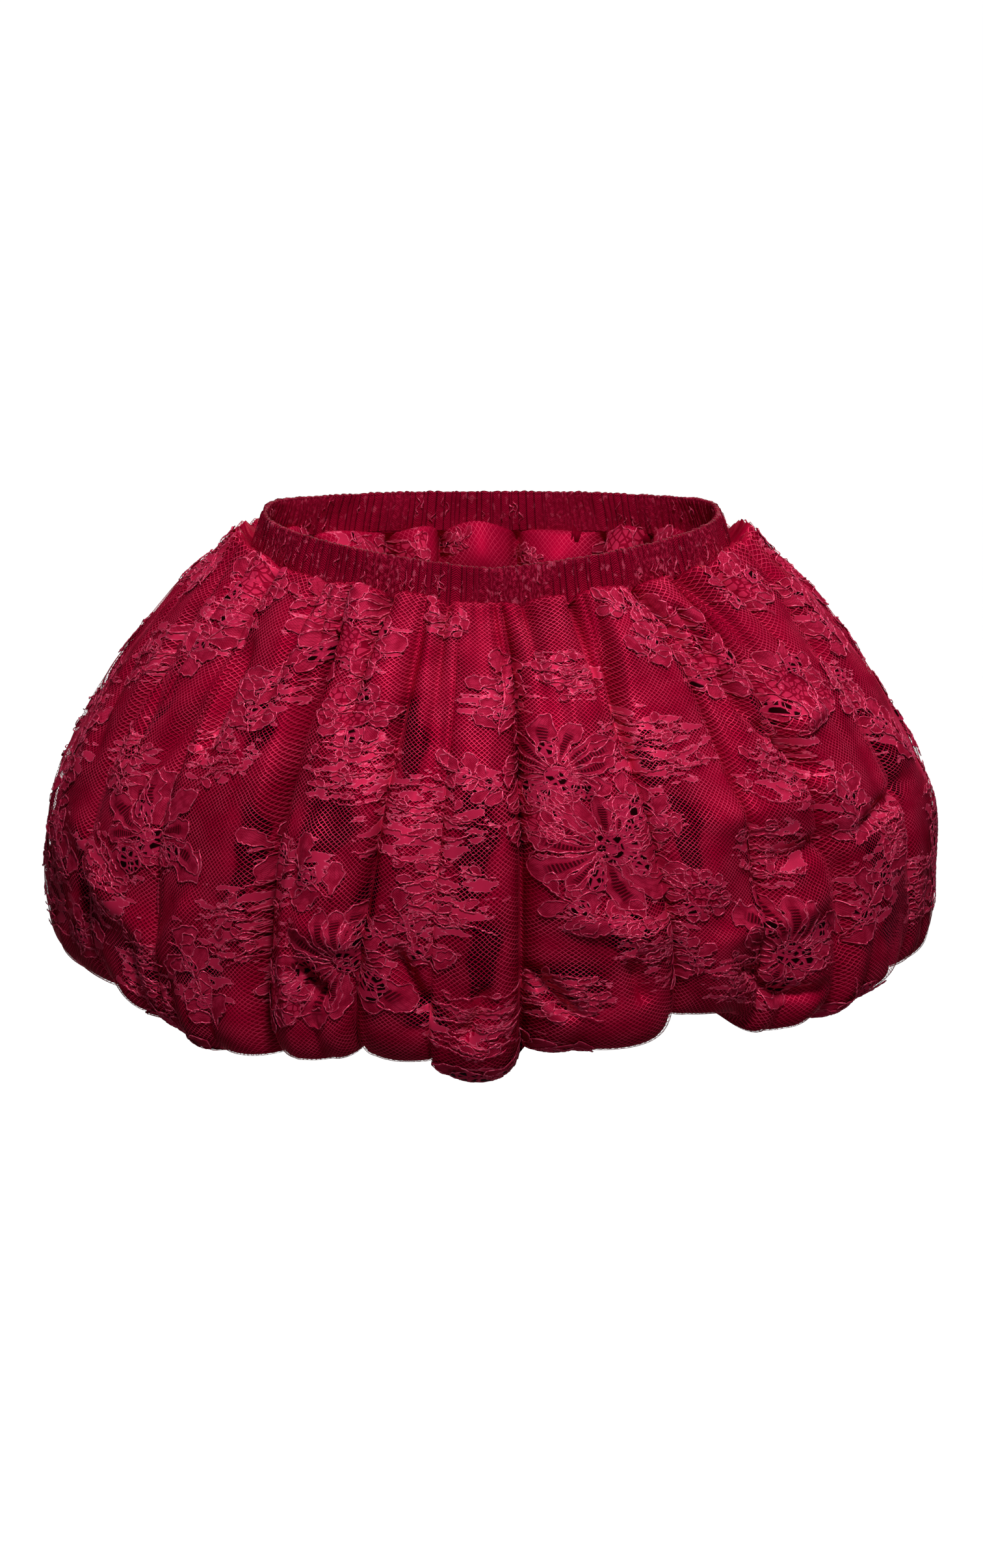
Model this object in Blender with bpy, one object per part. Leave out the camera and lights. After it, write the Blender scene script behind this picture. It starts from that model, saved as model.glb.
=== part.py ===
"""A balloon mini skirt: a gathered outer layer that swells from an elasticated waistband,
turns under at the hem and is caught to a shorter A-line lining, which holds the balloon up.

The skirt is filled out as if worn. The origin is the centre of the waist, level with the middle
of the band between its high sides and its low front. +Z is up, the front faces -Y, and +X is to
the right as seen from the front.
An angle of 0 degrees is the front centre and 90 degrees is the side seam at +X.
Everything is in metres, and the tables are in millimetres and degrees.
"""
from collections import namedtuple
from math import cos, pi, radians, sin, sqrt

import bmesh
import bpy

MM = 0.001

# Waistband: an ellipse squared off a little at the back, narrower at its top edge than at its seam.
BAND_HEIGHT = 22.5 * MM
BAND_WALL = 3.0 * MM
TOP_HALF_WIDTH = 132.5 * MM
TOP_HALF_DEPTH = 99.5 * MM
SEAM_HALF_WIDTH = 139.5 * MM
SEAM_HALF_DEPTH = 102.0 * MM
FRONT_ROUNDNESS = 2.1
BACK_ROUNDNESS = 2.9
SIDE_RISE = 8.0 * MM
BACK_RISE = 4.0 * MM
FRONT_DIP = 8.0 * MM
FRONT_DIP_SHAPE = 1.15
WAISTLINE_REACH = 80.0  # mm down the cloth over which it stops following the waistline
BAND_COLUMNS = 96
BAND_LEVELS = 4

# Balloon: half width and depth at its fullest, over the crests of the folds.
BALLOON_HALF_WIDTH = 262.7 * MM
BALLOON_HALF_DEPTH = 197.0 * MM
CLOTH_WALL = 2.2 * MM
COLUMNS_PER_FOLD = 8
GATHERS_PER_FOLD = 2
GATHER_HEIGHT = 3.2 * MM
FOLD_SHARPNESS = 0.75

# Lining: an A-line tube from the waist seam to the hem seam.
LINING_WALL = 1.5 * MM
LINING_GATHERS = 10
LINING_GATHER_HEIGHT = 3.0 * MM
COLUMNS_PER_LINING_GATHER = 4
LINING_LEVELS = 5
LINING_TOP_INSET = 2.4 * MM
LINING_HEM_STEP_OUT = 0.9 * MM
LINING_HEM_STEP_UP = 2.8 * MM

SEAM_GAP = 0.3 * MM

# The outer layer's cross-section from the waist seam, over the balloon, to the hem seam.
# out: share of the way from the seam to the fullest point; side_z and front_z: heights in mm;
# folds, gathers and hem: how much of the folds' depth, gathers' height and hem's hang show there.
Station = namedtuple("Station", "out side_z front_z folds gathers hem")
OUTLINE = [
    Station(-0.012, -3.9, -11.9, 0.00, 0.0, 0.0),
    Station(0.014, -3.8, -11.8, 0.00, 0.3, 0.0),
    Station(0.040, 2.4, -8.6, 0.05, 0.8, 0.0),
    Station(0.090, -1.8, -10.8, 0.16, 1.0, 0.0),
    Station(0.160, -8.6, -17.0, 0.32, 1.0, 0.0),
    Station(0.245, -15.4, -25.0, 0.48, 0.9, 0.0),
    Station(0.345, -25.0, -36.0, 0.62, 0.7, 0.0),
    Station(0.460, -40.0, -51.0, 0.76, 0.4, 0.0),
    Station(0.600, -61.0, -71.0, 0.88, 0.2, 0.0),
    Station(0.760, -88.0, -99.0, 0.96, 0.0, 0.1),
    Station(0.910, -120.0, -133.0, 1.00, 0.0, 0.2),
    Station(0.990, -152.0, -172.0, 1.00, 0.0, 0.4),
    Station(1.000, -196.0, -216.0, 1.00, 0.0, 0.7),
    Station(0.975, -224.0, -247.0, 1.00, 0.0, 1.0),
    Station(0.900, -237.0, -263.0, 1.00, 0.0, 1.0),
    Station(0.790, -240.5, -268.0, 0.90, 0.2, 1.0),
    Station(0.600, -233.0, -258.0, 0.70, 0.5, 0.7),
    Station(0.380, -222.0, -241.0, 0.00, 0.0, 0.0),
]
WAIST_STATION = 2
HEM_STATION = 14

# Where one fold ends and the next begins. waist, middle and hem: the crease's angle there;
# depth: how far it lies inside the crests, in mm; notch: how far it lifts the hem line, in mm;
# hang: how much lower the hem of the fold after it hangs, in mm.
Crease = namedtuple("Crease", "waist middle hem depth notch hang")
FRONT_CREASES = [
    Crease(-90, -90, -90, 7, 1, -1),
    Crease(-71, -66, -62, 11, 4, -7),
    Crease(-52, -49, -47, 9, 5, -4),
    Crease(-31, -33, -36, 18, 3, -6),
    Crease(-17, -17, -22, 14, 17, -8),
    Crease(-8, -7, -9, 6, 9, 1),
    Crease(2, 4, 6, 19, 13, -14),
    Crease(18, 21, 25, 15, 32, -29),
    Crease(30, 35, 37, 10, 20, -12),
    Crease(42, 48, 52, 17, 1, -5),
    Crease(68, 69, 71, 12, 5, -2),
    Crease(90, 90, 90, 7, 1, 0),
]
BACK_CREASES = [
    Crease(90, 90, 90, 7, 2, 0),
    Crease(106, 109, 111, 12, 3, 2),
    Crease(127, 126, 129, 15, 4, -4),
    Crease(143, 146, 144, 11, 2, -2),
    Crease(160, 161, 163, 17, 7, 3),
    Crease(181, 179, 178, 13, 6, -6),
    Crease(196, 199, 202, 18, 8, -9),
    Crease(217, 214, 216, 10, 2, -3),
    Crease(233, 235, 233, 15, 4, 0),
    Crease(254, 251, 250, 11, 3, 1),
    Crease(270, 270, 270, 7, 2, 0),
]


def smooth_step(value):
    """0 below 0, 1 above 1 and an S-curve between them."""
    value = min(max(value, 0.0), 1.0)
    return value * value * (3.0 - 2.0 * value)


def mix(start, end, share):
    return start + (end - start) * share


def angle_from_front(angle):
    """The angle's distance from the front or back centre line, 0 to 90 degrees."""
    return abs((angle + 90.0) % 180.0 - 90.0)


def frontness(angle):
    """1 over the front and back, 0 at the side seams."""
    return smooth_step((75.0 - angle_from_front(angle)) / 40.0)


def waist_rise(angle):
    """The waistline's height: a shallow V across the front, a flat curve across the back."""
    if cos(radians(angle)) < 0.0:
        return mix(SIDE_RISE, BACK_RISE, frontness(angle))
    return mix(-FRONT_DIP, SIDE_RISE, abs(sin(radians(angle))) ** FRONT_DIP_SHAPE)


def roundness(angle, share_out):
    """The exponent of the plan's superellipse: 2 is a true ellipse, and more is squarer."""
    at_waist = BACK_ROUNDNESS if cos(radians(angle)) < 0.0 else FRONT_ROUNDNESS
    return mix(at_waist, 2.0, smooth_step(share_out / 0.5))


def plan_point(angle, half_width, half_depth, exponent, z):
    """A point on the superellipse of the given half sizes, at the given angle."""
    across = sin(radians(angle))
    along = cos(radians(angle))
    spread = (abs(across) ** exponent + abs(along) ** exponent) ** (1.0 / exponent)
    return [half_width * across / spread, -half_depth * along / spread, z]


def minus(a, b):
    return [a[k] - b[k] for k in range(3)]


def cross(a, b):
    return [
        a[1] * b[2] - a[2] * b[1],
        a[2] * b[0] - a[0] * b[2],
        a[0] * b[1] - a[1] * b[0],
    ]


def unit(vector):
    size = sqrt(sum(value * value for value in vector))
    return [value / size for value in vector]


def crease_angle(crease, station):
    """A crease's angle at a station, read between the waist, the middle and the hem."""
    middle = (WAIST_STATION + HEM_STATION) / 2
    if station <= middle:
        share = smooth_step((station - WAIST_STATION) / (middle - WAIST_STATION))
        return mix(crease.waist, crease.middle, share)
    share = smooth_step((station - middle) / (HEM_STATION - middle))
    return mix(crease.middle, crease.hem, share)


def station_height(row, angle):
    """A station's height, which near the waist follows the waistline up or down."""
    height = mix(row.side_z, row.front_z, frontness(angle)) * MM
    plain = mix(SIDE_RISE, 0.0, frontness(angle))
    return height + (waist_rise(angle) - plain) * (1.0 - smooth_step(-row.front_z / WAISTLINE_REACH))


def outer_point(before, after, share, station):
    """A point of the outer layer, the given share of the way across one fold."""
    row = OUTLINE[station]
    angle = mix(crease_angle(before, station), crease_angle(after, station), share)
    bulge = sin(pi * share) ** FOLD_SHARPNESS if 0.0 < share < 1.0 else 0.0
    valley = 1.0 - bulge
    depth = mix(before.depth, after.depth, share) * MM * valley * row.folds
    ripple = GATHER_HEIGHT * row.gathers * sin(GATHERS_PER_FOLD * pi * share) ** 2
    half_width = mix(SEAM_HALF_WIDTH, BALLOON_HALF_WIDTH, row.out) + ripple - depth
    half_depth = mix(SEAM_HALF_DEPTH, BALLOON_HALF_DEPTH, row.out) + ripple - depth
    notch = mix(before.notch, after.notch, share) * valley
    drop = (before.hang * bulge - notch) * row.hem
    z = station_height(row, angle) - drop * MM
    return plan_point(angle, half_width, half_depth, roundness(angle, row.out), z)


def outer_grid(creases, shift):
    """Rows of points over one half of the outer layer, moved by shift along Y."""
    grid = []
    for station in range(len(OUTLINE)):
        row = []
        for before, after in zip(creases, creases[1:]):
            for step in range(COLUMNS_PER_FOLD):
                row.append(outer_point(before, after, step / COLUMNS_PER_FOLD, station))
        row.append(outer_point(creases[-2], creases[-1], 1.0, station))
        for point in row:
            point[1] += shift
        grid.append(row)
    return grid


def lining_point(angle, level, offset):
    """A point of the lining. level runs from 0 at the waist seam to 1 at the hem seam."""
    hem = OUTLINE[-1]
    width = mix(SEAM_HALF_WIDTH, BALLOON_HALF_WIDTH, hem.out) + LINING_HEM_STEP_OUT
    depth = mix(SEAM_HALF_DEPTH, BALLOON_HALF_DEPTH, hem.out) + LINING_HEM_STEP_OUT
    flare = mix(level, smooth_step(level), 0.35)
    puff = LINING_GATHER_HEIGHT * 4.0 * level * (1.0 - level) ** 3
    gather = sin(LINING_GATHERS * radians(angle + 90.0)) ** 2
    inward = puff * gather + offset
    half_width = mix(SEAM_HALF_WIDTH - LINING_TOP_INSET, width, flare) - inward
    half_depth = mix(SEAM_HALF_DEPTH - LINING_TOP_INSET, depth, flare) - inward
    top = -BAND_HEIGHT / 2 - SEAM_GAP + waist_rise(angle)
    bottom = station_height(hem, angle) + LINING_HEM_STEP_UP
    exponent = roundness(angle, hem.out * level)
    return plan_point(angle, half_width, half_depth, exponent, mix(top, bottom, level))


def lining_grid(first_angle, shift, offset):
    """Rows of points over one half of the lining, which starts at first_angle."""
    columns = LINING_GATHERS * COLUMNS_PER_LINING_GATHER
    grid = []
    for step in range(LINING_LEVELS + 1):
        row = []
        for column in range(columns + 1):
            angle = first_angle + 180.0 * column / columns
            point = lining_point(angle, step / LINING_LEVELS, offset)
            point[1] += shift
            row.append(point)
        grid.append(row)
    return grid


def band_grid(inset):
    """Rings of points round the waistband, from its top edge to its seam."""
    grid = []
    for step in range(BAND_LEVELS):
        level = step / (BAND_LEVELS - 1)
        half_width = mix(TOP_HALF_WIDTH, SEAM_HALF_WIDTH, level) - inset
        half_depth = mix(TOP_HALF_DEPTH, SEAM_HALF_DEPTH, level) - inset
        ring = []
        for column in range(BAND_COLUMNS):
            angle = -90.0 + 360.0 * column / BAND_COLUMNS
            z = BAND_HEIGHT * (0.5 - level) + waist_rise(angle)
            ring.append(plan_point(angle, half_width, half_depth, roundness(angle, 0.0), z))
        grid.append(ring)
    return grid


def thickened(grid, wall):
    """The grid moved inwards by the wall's thickness along the cloth's own normals.

    At the side seams the normal is turned into the seam's plane, so that the two halves' edges
    stay parallel.
    """
    rows = len(grid)
    columns = len(grid[0])
    inner = []
    for r in range(rows):
        above = grid[max(r - 1, 0)]
        below = grid[min(r + 1, rows - 1)]
        line = []
        for c in range(columns):
            here = grid[r][c]
            along = minus(grid[r][min(c + 1, columns - 1)], grid[r][max(c - 1, 0)])
            down = minus(below[c], above[c])
            normal = cross(down, along)
            if c in (0, columns - 1):
                normal[1] = 0.0
            normal = unit(normal)
            line.append([here[k] - normal[k] * wall for k in range(3)])
        inner.append(line)
    return inner


def cloth_mesh(name, outer, inner, closed):
    """One closed body between two grids of points. closed joins each row's end to its start."""
    mesh = bmesh.new()
    rows = len(outer)
    columns = len(outer[0])
    outside = [[mesh.verts.new(point) for point in row] for row in outer]
    inside = [[mesh.verts.new(point) for point in row] for row in inner]
    last = columns if closed else columns - 1
    for r in range(rows - 1):
        for c in range(last):
            n = (c + 1) % columns
            mesh.faces.new((outside[r][c], outside[r + 1][c], outside[r + 1][n], outside[r][n]))
            mesh.faces.new((inside[r][c], inside[r][n], inside[r + 1][n], inside[r + 1][c]))
    for c in range(last):
        n = (c + 1) % columns
        mesh.faces.new((outside[0][c], outside[0][n], inside[0][n], inside[0][c]))
        mesh.faces.new((outside[-1][n], outside[-1][c], inside[-1][c], inside[-1][n]))
    if not closed:
        for r in range(rows - 1):
            mesh.faces.new((outside[r + 1][0], outside[r][0], inside[r][0], inside[r + 1][0]))
            mesh.faces.new((outside[r][-1], outside[r + 1][-1], inside[r + 1][-1], inside[r][-1]))
    bmesh.ops.recalc_face_normals(mesh, faces=mesh.faces)
    bmesh.ops.triangulate(mesh, faces=mesh.faces, quad_method="SHORT_EDGE")
    data = bpy.data.meshes.new(name)
    mesh.to_mesh(data)
    mesh.free()
    data.shade_smooth()
    return data


def cloth_material(name, colour, roughness_value, sheen):
    """A plain dyed cloth."""
    material = bpy.data.materials.new(name)
    material.use_nodes = True
    shader = material.node_tree.nodes["Principled BSDF"]
    shader.inputs["Base Color"].default_value = (*colour, 1.0)
    shader.inputs["Roughness"].default_value = roughness_value
    shader.inputs["Metallic"].default_value = 0.0
    shader.inputs["Sheen Weight"].default_value = sheen
    return material


def add_piece(name, mesh, material):
    piece = bpy.data.objects.new(name, mesh)
    mesh.materials.append(material)
    bpy.context.scene.collection.objects.link(piece)
    return piece


def make_waistband():
    """The elasticated casing: one closed ring of cloth."""
    mesh = cloth_mesh("waistband", band_grid(0.0), band_grid(BAND_WALL), closed=True)
    return add_piece("waistband", mesh, cloth_material("band_lace", (0.16, 0.004, 0.018), 0.6, 0.3))


def make_outer_layer():
    """The balloon's front and back, joined at the side seams."""
    material = cloth_material("crimson_lace", (0.30, 0.008, 0.035), 0.5, 0.4)
    halves = [("shell_front", FRONT_CREASES, -1), ("shell_back", BACK_CREASES, 1)]
    for name, creases, side in halves:
        outer = outer_grid(creases, side * SEAM_GAP / 2)
        mesh = cloth_mesh(name, outer, thickened(outer, CLOTH_WALL), closed=False)
        add_piece(name, mesh, material)


def make_lining():
    """The lining's front and back. Its outer face looks into the balloon."""
    material = cloth_material("lining_satin", (0.13, 0.003, 0.014), 0.4, 0.2)
    halves = [("lining_front", -90.0, -1), ("lining_back", 90.0, 1)]
    for name, first_angle, side in halves:
        shift = side * SEAM_GAP / 2
        outer = lining_grid(first_angle, shift, 0.0)
        inner = lining_grid(first_angle, shift, LINING_WALL)
        mesh = cloth_mesh(name, outer, inner, closed=False)
        add_piece(name, mesh, material)


def main():
    for item in list(bpy.data.objects):
        bpy.data.objects.remove(item, do_unlink=True)
    make_waistband()
    make_outer_layer()
    make_lining()


main()
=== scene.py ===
# %% [markdown]
# # A balloon mini skirt in crimson lace
#
# The skirt is a thin, hollow piece of sewing: corded floral lace net over satin, gathered into an
# elastic waistband, blown out like a balloon and turned under at the hem. A lining tube of the same
# cloth holds the hem up. This script dresses the packed solids with cloth, lace and light. One
# formula gives the cloth's form, and the satin, the net, the lace and its cords all read it, so
# they lie on each other without any fitting.

# %% Load the solids
import math
from collections import namedtuple
from functools import partial

import bpy
import numpy as np
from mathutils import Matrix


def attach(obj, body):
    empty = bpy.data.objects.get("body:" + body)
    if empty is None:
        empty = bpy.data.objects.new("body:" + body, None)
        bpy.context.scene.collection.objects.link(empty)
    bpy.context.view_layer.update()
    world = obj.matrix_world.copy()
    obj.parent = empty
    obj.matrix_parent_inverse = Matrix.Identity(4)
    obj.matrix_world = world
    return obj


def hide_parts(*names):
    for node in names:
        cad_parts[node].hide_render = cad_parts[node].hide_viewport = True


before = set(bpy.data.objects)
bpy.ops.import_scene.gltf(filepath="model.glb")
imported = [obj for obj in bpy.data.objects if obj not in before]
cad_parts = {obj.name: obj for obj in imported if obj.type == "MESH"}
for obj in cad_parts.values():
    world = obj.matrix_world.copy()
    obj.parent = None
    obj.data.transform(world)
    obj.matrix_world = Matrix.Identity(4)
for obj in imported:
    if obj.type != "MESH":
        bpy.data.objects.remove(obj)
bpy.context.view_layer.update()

MM = 0.001

# %% [markdown]
# ## The camera first
# The photo is taken from a little above the waist, straight at the front, from about three metres.
# A long lens at that distance keeps the near and the far side of the waist almost equally large.

# %% Camera
CAMERA_RISE = math.radians(12.4)
CAMERA_DISTANCE = 3.0
PICTURE_HEIGHT = 0.9162  # metres seen from top to bottom of the picture at that distance
CAMERA_TARGET = (0.0, 0.0, -0.141)

camera_data = bpy.data.cameras.new("camera")
camera_data.sensor_width = 36.0
camera_data.lens = camera_data.sensor_width * CAMERA_DISTANCE / PICTURE_HEIGHT
camera = bpy.data.objects.new("camera", camera_data)
camera.location = (
    CAMERA_TARGET[0],
    CAMERA_TARGET[1] - CAMERA_DISTANCE * math.cos(CAMERA_RISE),
    CAMERA_TARGET[2] + CAMERA_DISTANCE * math.sin(CAMERA_RISE),
)
camera.rotation_euler = (math.pi / 2 - CAMERA_RISE, 0.0, 0.0)
bpy.context.scene.collection.objects.link(camera)
bpy.context.scene.camera = camera
print("lens", round(camera_data.lens, 1), "mm")

# %% [markdown]
# ## Studio
# The background is white with no shadow near the skirt, which is held up at waist height. A pale
# floor far below and broad area lamps give that. The key lamp stands high in front and is rather
# small, so the folds round from light to dark. The fill is weak, so the creases stay deep.

# %% Floor and lamps
FLOOR_Z, FLOOR_HALF = -1.05, 60.0

# Name, place, the point it is turned to, length of each side and watts.
LAMPS = [
    ("key_lamp", (0.2, -2.1, 2.3), (0.0, 0.0, -0.1), 0.5, 52.0),
    ("front_lamp", (0.7, -2.9, 0.5), (0.0, 0.0, -0.15), 1.2, 2.0),
    ("top_lamp", (0.5, 0.3, 2.3), (0.0, 0.0, -0.1), 1.2, 30.0),
    ("back_lamp", (0.6, 2.6, 1.6), (0.0, 0.0, -0.1), 1.4, 20.0),
]


def area_lamp(name, place, aim, size, watts):
    """A soft square of light at place, turned towards aim."""
    data = bpy.data.lights.new(name, "AREA")
    data.shape = "RECTANGLE"
    data.size = data.size_y = size
    data.energy = watts
    lamp = bpy.data.objects.new(name, data)
    lamp.location = place
    way = np.array(aim, float) - np.array(place, float)
    turn = math.atan2(way[0], -way[1])
    tilt = math.atan2(math.hypot(way[0], way[1]), -way[2])
    lamp.rotation_euler = (tilt, 0.0, turn + math.pi)
    bpy.context.scene.collection.objects.link(lamp)


def paper_material():
    """Paper that looks white to the camera but throws little light back at the cloth."""
    material = bpy.data.materials.new("studio_paper")
    material.use_nodes = True
    nodes, links = material.node_tree.nodes, material.node_tree.links
    seen = nodes.new("ShaderNodeLightPath")
    shader = nodes["Principled BSDF"]
    shader.inputs["Base Color"].default_value = (0.2, 0.2, 0.2, 1.0)
    shader.inputs["Roughness"].default_value = 0.9
    shader.inputs["Emission Color"].default_value = (1.0, 1.0, 1.0, 1.0)
    links.new(seen.outputs["Is Camera Ray"], shader.inputs["Emission Strength"])
    return material


floor_data = bpy.data.meshes.new("studio_floor")
corners = [(x * FLOOR_HALF, y * FLOOR_HALF, FLOOR_Z) for x, y in ((-1, -1), (1, -1), (1, 1), (-1, 1))]
floor_data.from_pydata(corners, [], [(0, 1, 2, 3)])
floor_data.materials.append(paper_material())
floor = bpy.data.objects.new("studio_floor", floor_data)
bpy.context.scene.collection.objects.link(floor)

for lamp_row in LAMPS:
    area_lamp(*lamp_row)

world = bpy.data.worlds.new("studio")
world.use_nodes = True
world.node_tree.nodes["Background"].inputs["Color"].default_value = (1.0, 0.99, 0.98, 1.0)
world.node_tree.nodes["Background"].inputs["Strength"].default_value = 0.06
bpy.context.scene.world = world
bpy.context.scene.view_settings.view_transform = "Standard"
print(len(bpy.data.lights), "lamps")

# %% [markdown]
# ## The cloth's form
# A balloon skirt's form is a profile swept round the body and broken into folds. The profile runs
# from the waist seam, over the balloon, under the hem and up to the lining. Its sizes are the ones
# of the solids. Between the profile's stations a Catmull-Rom curve keeps the line soft.

# %% Profile and crease tables
BAND_HEIGHT = 22.5 * MM
TOP_HALF = (132.5 * MM, 99.5 * MM)
SEAM_HALF = (139.5 * MM, 102.0 * MM)
BALLOON_HALF = (259.6 * MM, 197.0 * MM)
FRONT_ROUNDNESS, BACK_ROUNDNESS = 2.1, 2.9
SIDE_RISE, BACK_RISE, FRONT_DIP = 8.0 * MM, 4.0 * MM, 8.0 * MM
FRONT_DIP_SHAPE = 1.15
WAISTLINE_REACH = 80.0  # mm of drop over which the cloth stops following the waistline

STATION = ("out", "side_z", "front_z", "folds", "hem")
OUTLINE = [
    (-0.012, -3.9, -11.9, 0.00, 0.0),
    (0.014, -3.8, -11.8, 0.00, 0.0),
    (0.040, 2.4, -8.6, 0.05, 0.0),
    (0.090, -1.8, -10.8, 0.16, 0.0),
    (0.160, -8.6, -17.0, 0.32, 0.0),
    (0.245, -15.4, -25.0, 0.48, 0.0),
    (0.345, -25.0, -36.0, 0.62, 0.0),
    (0.460, -40.0, -51.0, 0.76, 0.0),
    (0.600, -61.0, -71.0, 0.88, 0.0),
    (0.760, -88.0, -99.0, 0.96, 0.1),
    (0.910, -120.0, -133.0, 1.00, 0.2),
    (0.990, -152.0, -172.0, 1.00, 0.4),
    (1.000, -196.0, -216.0, 1.00, 0.7),
    (0.975, -224.0, -247.0, 1.00, 1.0),
    (0.900, -237.0, -263.0, 1.00, 1.0),
    (0.790, -240.5, -268.0, 0.90, 1.0),
    (0.600, -233.0, -258.0, 0.70, 0.7),
    (0.380, -222.0, -241.0, 0.00, 0.0),
]
LAST_STATION = len(OUTLINE) - 1
WAIST_STATION, MIDDLE_STATION, HEM_STATION = 2, 8, 14

# Angles round the body in degrees, sizes in mm; pinch says how sharply a crease is nipped in.
CREASE = ("waist", "middle", "hem", "depth", "notch", "hang", "pinch")
FRONT_CREASES = [
    (-90, -90, -90, 7, 1, -1, 0.4),
    (-71, -66, -62, 11, 4, -7, 0.4),
    (-52, -49, -47, 8, 5, -4, 0.3),
    (-32, -30, -31, 18, 3, -6, 1.3),
    (-14, -14, -18, 10, 17, -8, 0.5),
    (-7, -6, -8, 5, 9, 1, 0.3),
    (2, 4, 4, 17, 13, -14, 1.1),
    (20, 20, 25, 11, 32, -29, 0.45),
    (30, 35, 37, 10, 20, -12, 0.5),
    (42, 48, 52, 17, 1, -5, 1.1),
    (68, 69, 71, 12, 5, -2, 0.7),
    (90, 90, 90, 7, 1, 0, 0.4),
]
BACK_CREASES = [
    (90, 90, 90, 7, 2, 0, 0.4),
    (106, 109, 111, 12, 3, 2, 0.6),
    (127, 126, 129, 15, 4, -4, 1.2),
    (143, 146, 144, 11, 2, -2, 0.3),
    (160, 161, 163, 17, 7, 3, 1.3),
    (181, 179, 178, 13, 6, -6, 0.5),
    (196, 199, 202, 18, 8, -9, 1.1),
    (217, 214, 216, 10, 2, -3, 0.4),
    (233, 235, 233, 15, 4, 0, 1.2),
    (254, 251, 250, 11, 3, 1, 0.5),
    (270, 270, 270, 7, 2, 0, 0.4),
]
print(len(OUTLINE), "stations,", len(FRONT_CREASES), "and", len(BACK_CREASES), "creases")

# %% [markdown]
# ## Reading the tables
# A few small functions read the tables. A crease's angle is blended between waist, middle and hem,
# so that a crease can wander down the skirt. The plan is a superellipse: one exponent makes it
# rounder or squarer, which suits a waist that is flatter at the back than at the front.

# %% Curve and plan helpers


def mix(start, end, share):
    """The value that lies a share of the way from start to end."""
    return start + (end - start) * share


def smooth_step(value):
    """From 0 to 1 without a corner at either end."""
    value = np.clip(value, 0.0, 1.0)
    return value * value * (3.0 - 2.0 * value)


def curve_through(values, place):
    """A Catmull-Rom curve through values, which stand at the whole numbers of place."""
    values = np.asarray(values, float)
    before_first = 2.0 * values[0] - values[1]
    after_last = 2.0 * values[-1] - values[-2]
    padded = np.concatenate([[before_first], values, [after_last]])
    place = np.clip(place, 0.0, len(values) - 1.0)
    start = np.minimum(np.floor(place).astype(int), len(values) - 2)
    t = place - start
    a, b, c, d = (padded[start + n] for n in range(4))
    bend = (2.0 * a - 5.0 * b + 4.0 * c - d) * t**2 + (3.0 * b - a - 3.0 * c + d) * t**3
    return 0.5 * (2.0 * b + (c - a) * t + bend)


def crease_angles(crease, number, station):
    """The angle of numbered creases at a station, read between waist, middle and hem."""
    upper = smooth_step((station - WAIST_STATION) / (MIDDLE_STATION - WAIST_STATION))
    lower = smooth_step((station - MIDDLE_STATION) / (HEM_STATION - MIDDLE_STATION))
    from_waist = mix(crease["waist"][number], crease["middle"][number], upper)
    to_hem = mix(crease["middle"][number], crease["hem"][number], lower)
    return np.where(station <= MIDDLE_STATION, from_waist, to_hem)


def frontness(angle):
    """1 over the front and back, 0 at the side seams."""
    from_front = np.abs((angle + 90.0) % 180.0 - 90.0)
    return smooth_step((75.0 - from_front) / 40.0)


def waist_rise(angle):
    """The waistline's height: a shallow V across the front, a flat curve across the back."""
    back = mix(SIDE_RISE, BACK_RISE, frontness(angle))
    front = mix(-FRONT_DIP, SIDE_RISE, np.abs(np.sin(np.radians(angle))) ** FRONT_DIP_SHAPE)
    return np.where(np.cos(np.radians(angle)) < 0.0, back, front)


def height_at(row, angle):
    """A station's height in metres, which near the waist follows the waistline."""
    height = mix(row["side_z"], row["front_z"], frontness(angle)) * MM
    plain = mix(SIDE_RISE, 0.0, frontness(angle))
    followed = 1.0 - smooth_step(-row["front_z"] / WAISTLINE_REACH)
    return height + (waist_rise(angle) - plain) * followed


def roundness(angle, share_out):
    """The exponent of the plan's superellipse: squarer at the back of the waist."""
    at_waist = np.where(np.cos(np.radians(angle)) < 0.0, BACK_ROUNDNESS, FRONT_ROUNDNESS)
    return mix(at_waist, 2.0, smooth_step(share_out / 0.5))


def on_plan(angle, half_width, half_depth, exponent, z):
    """Points on a superellipse round the body at height z."""
    across, along = np.sin(np.radians(angle)), np.cos(np.radians(angle))
    spread = (np.abs(across) ** exponent + np.abs(along) ** exponent) ** (1.0 / exponent)
    return np.stack([half_width * across / spread, -half_depth * along / spread, z], -1)


waist_heights = waist_rise(np.array([0.0, 90.0, 180.0])) / MM
print("waistline at front, side and back:", waist_heights.round(1), "mm")

# %% [markdown]
# ## Folds and gathers
# A fold is a broad, full lobe between two narrow creases. Its cross-section is a half sine raised
# to a small power, with a sharp pinch at each crease, as blown-out cloth has. Small gathers stand
# in the waist seam, uneven in width, height and length, and die out down the cloth.

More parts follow.
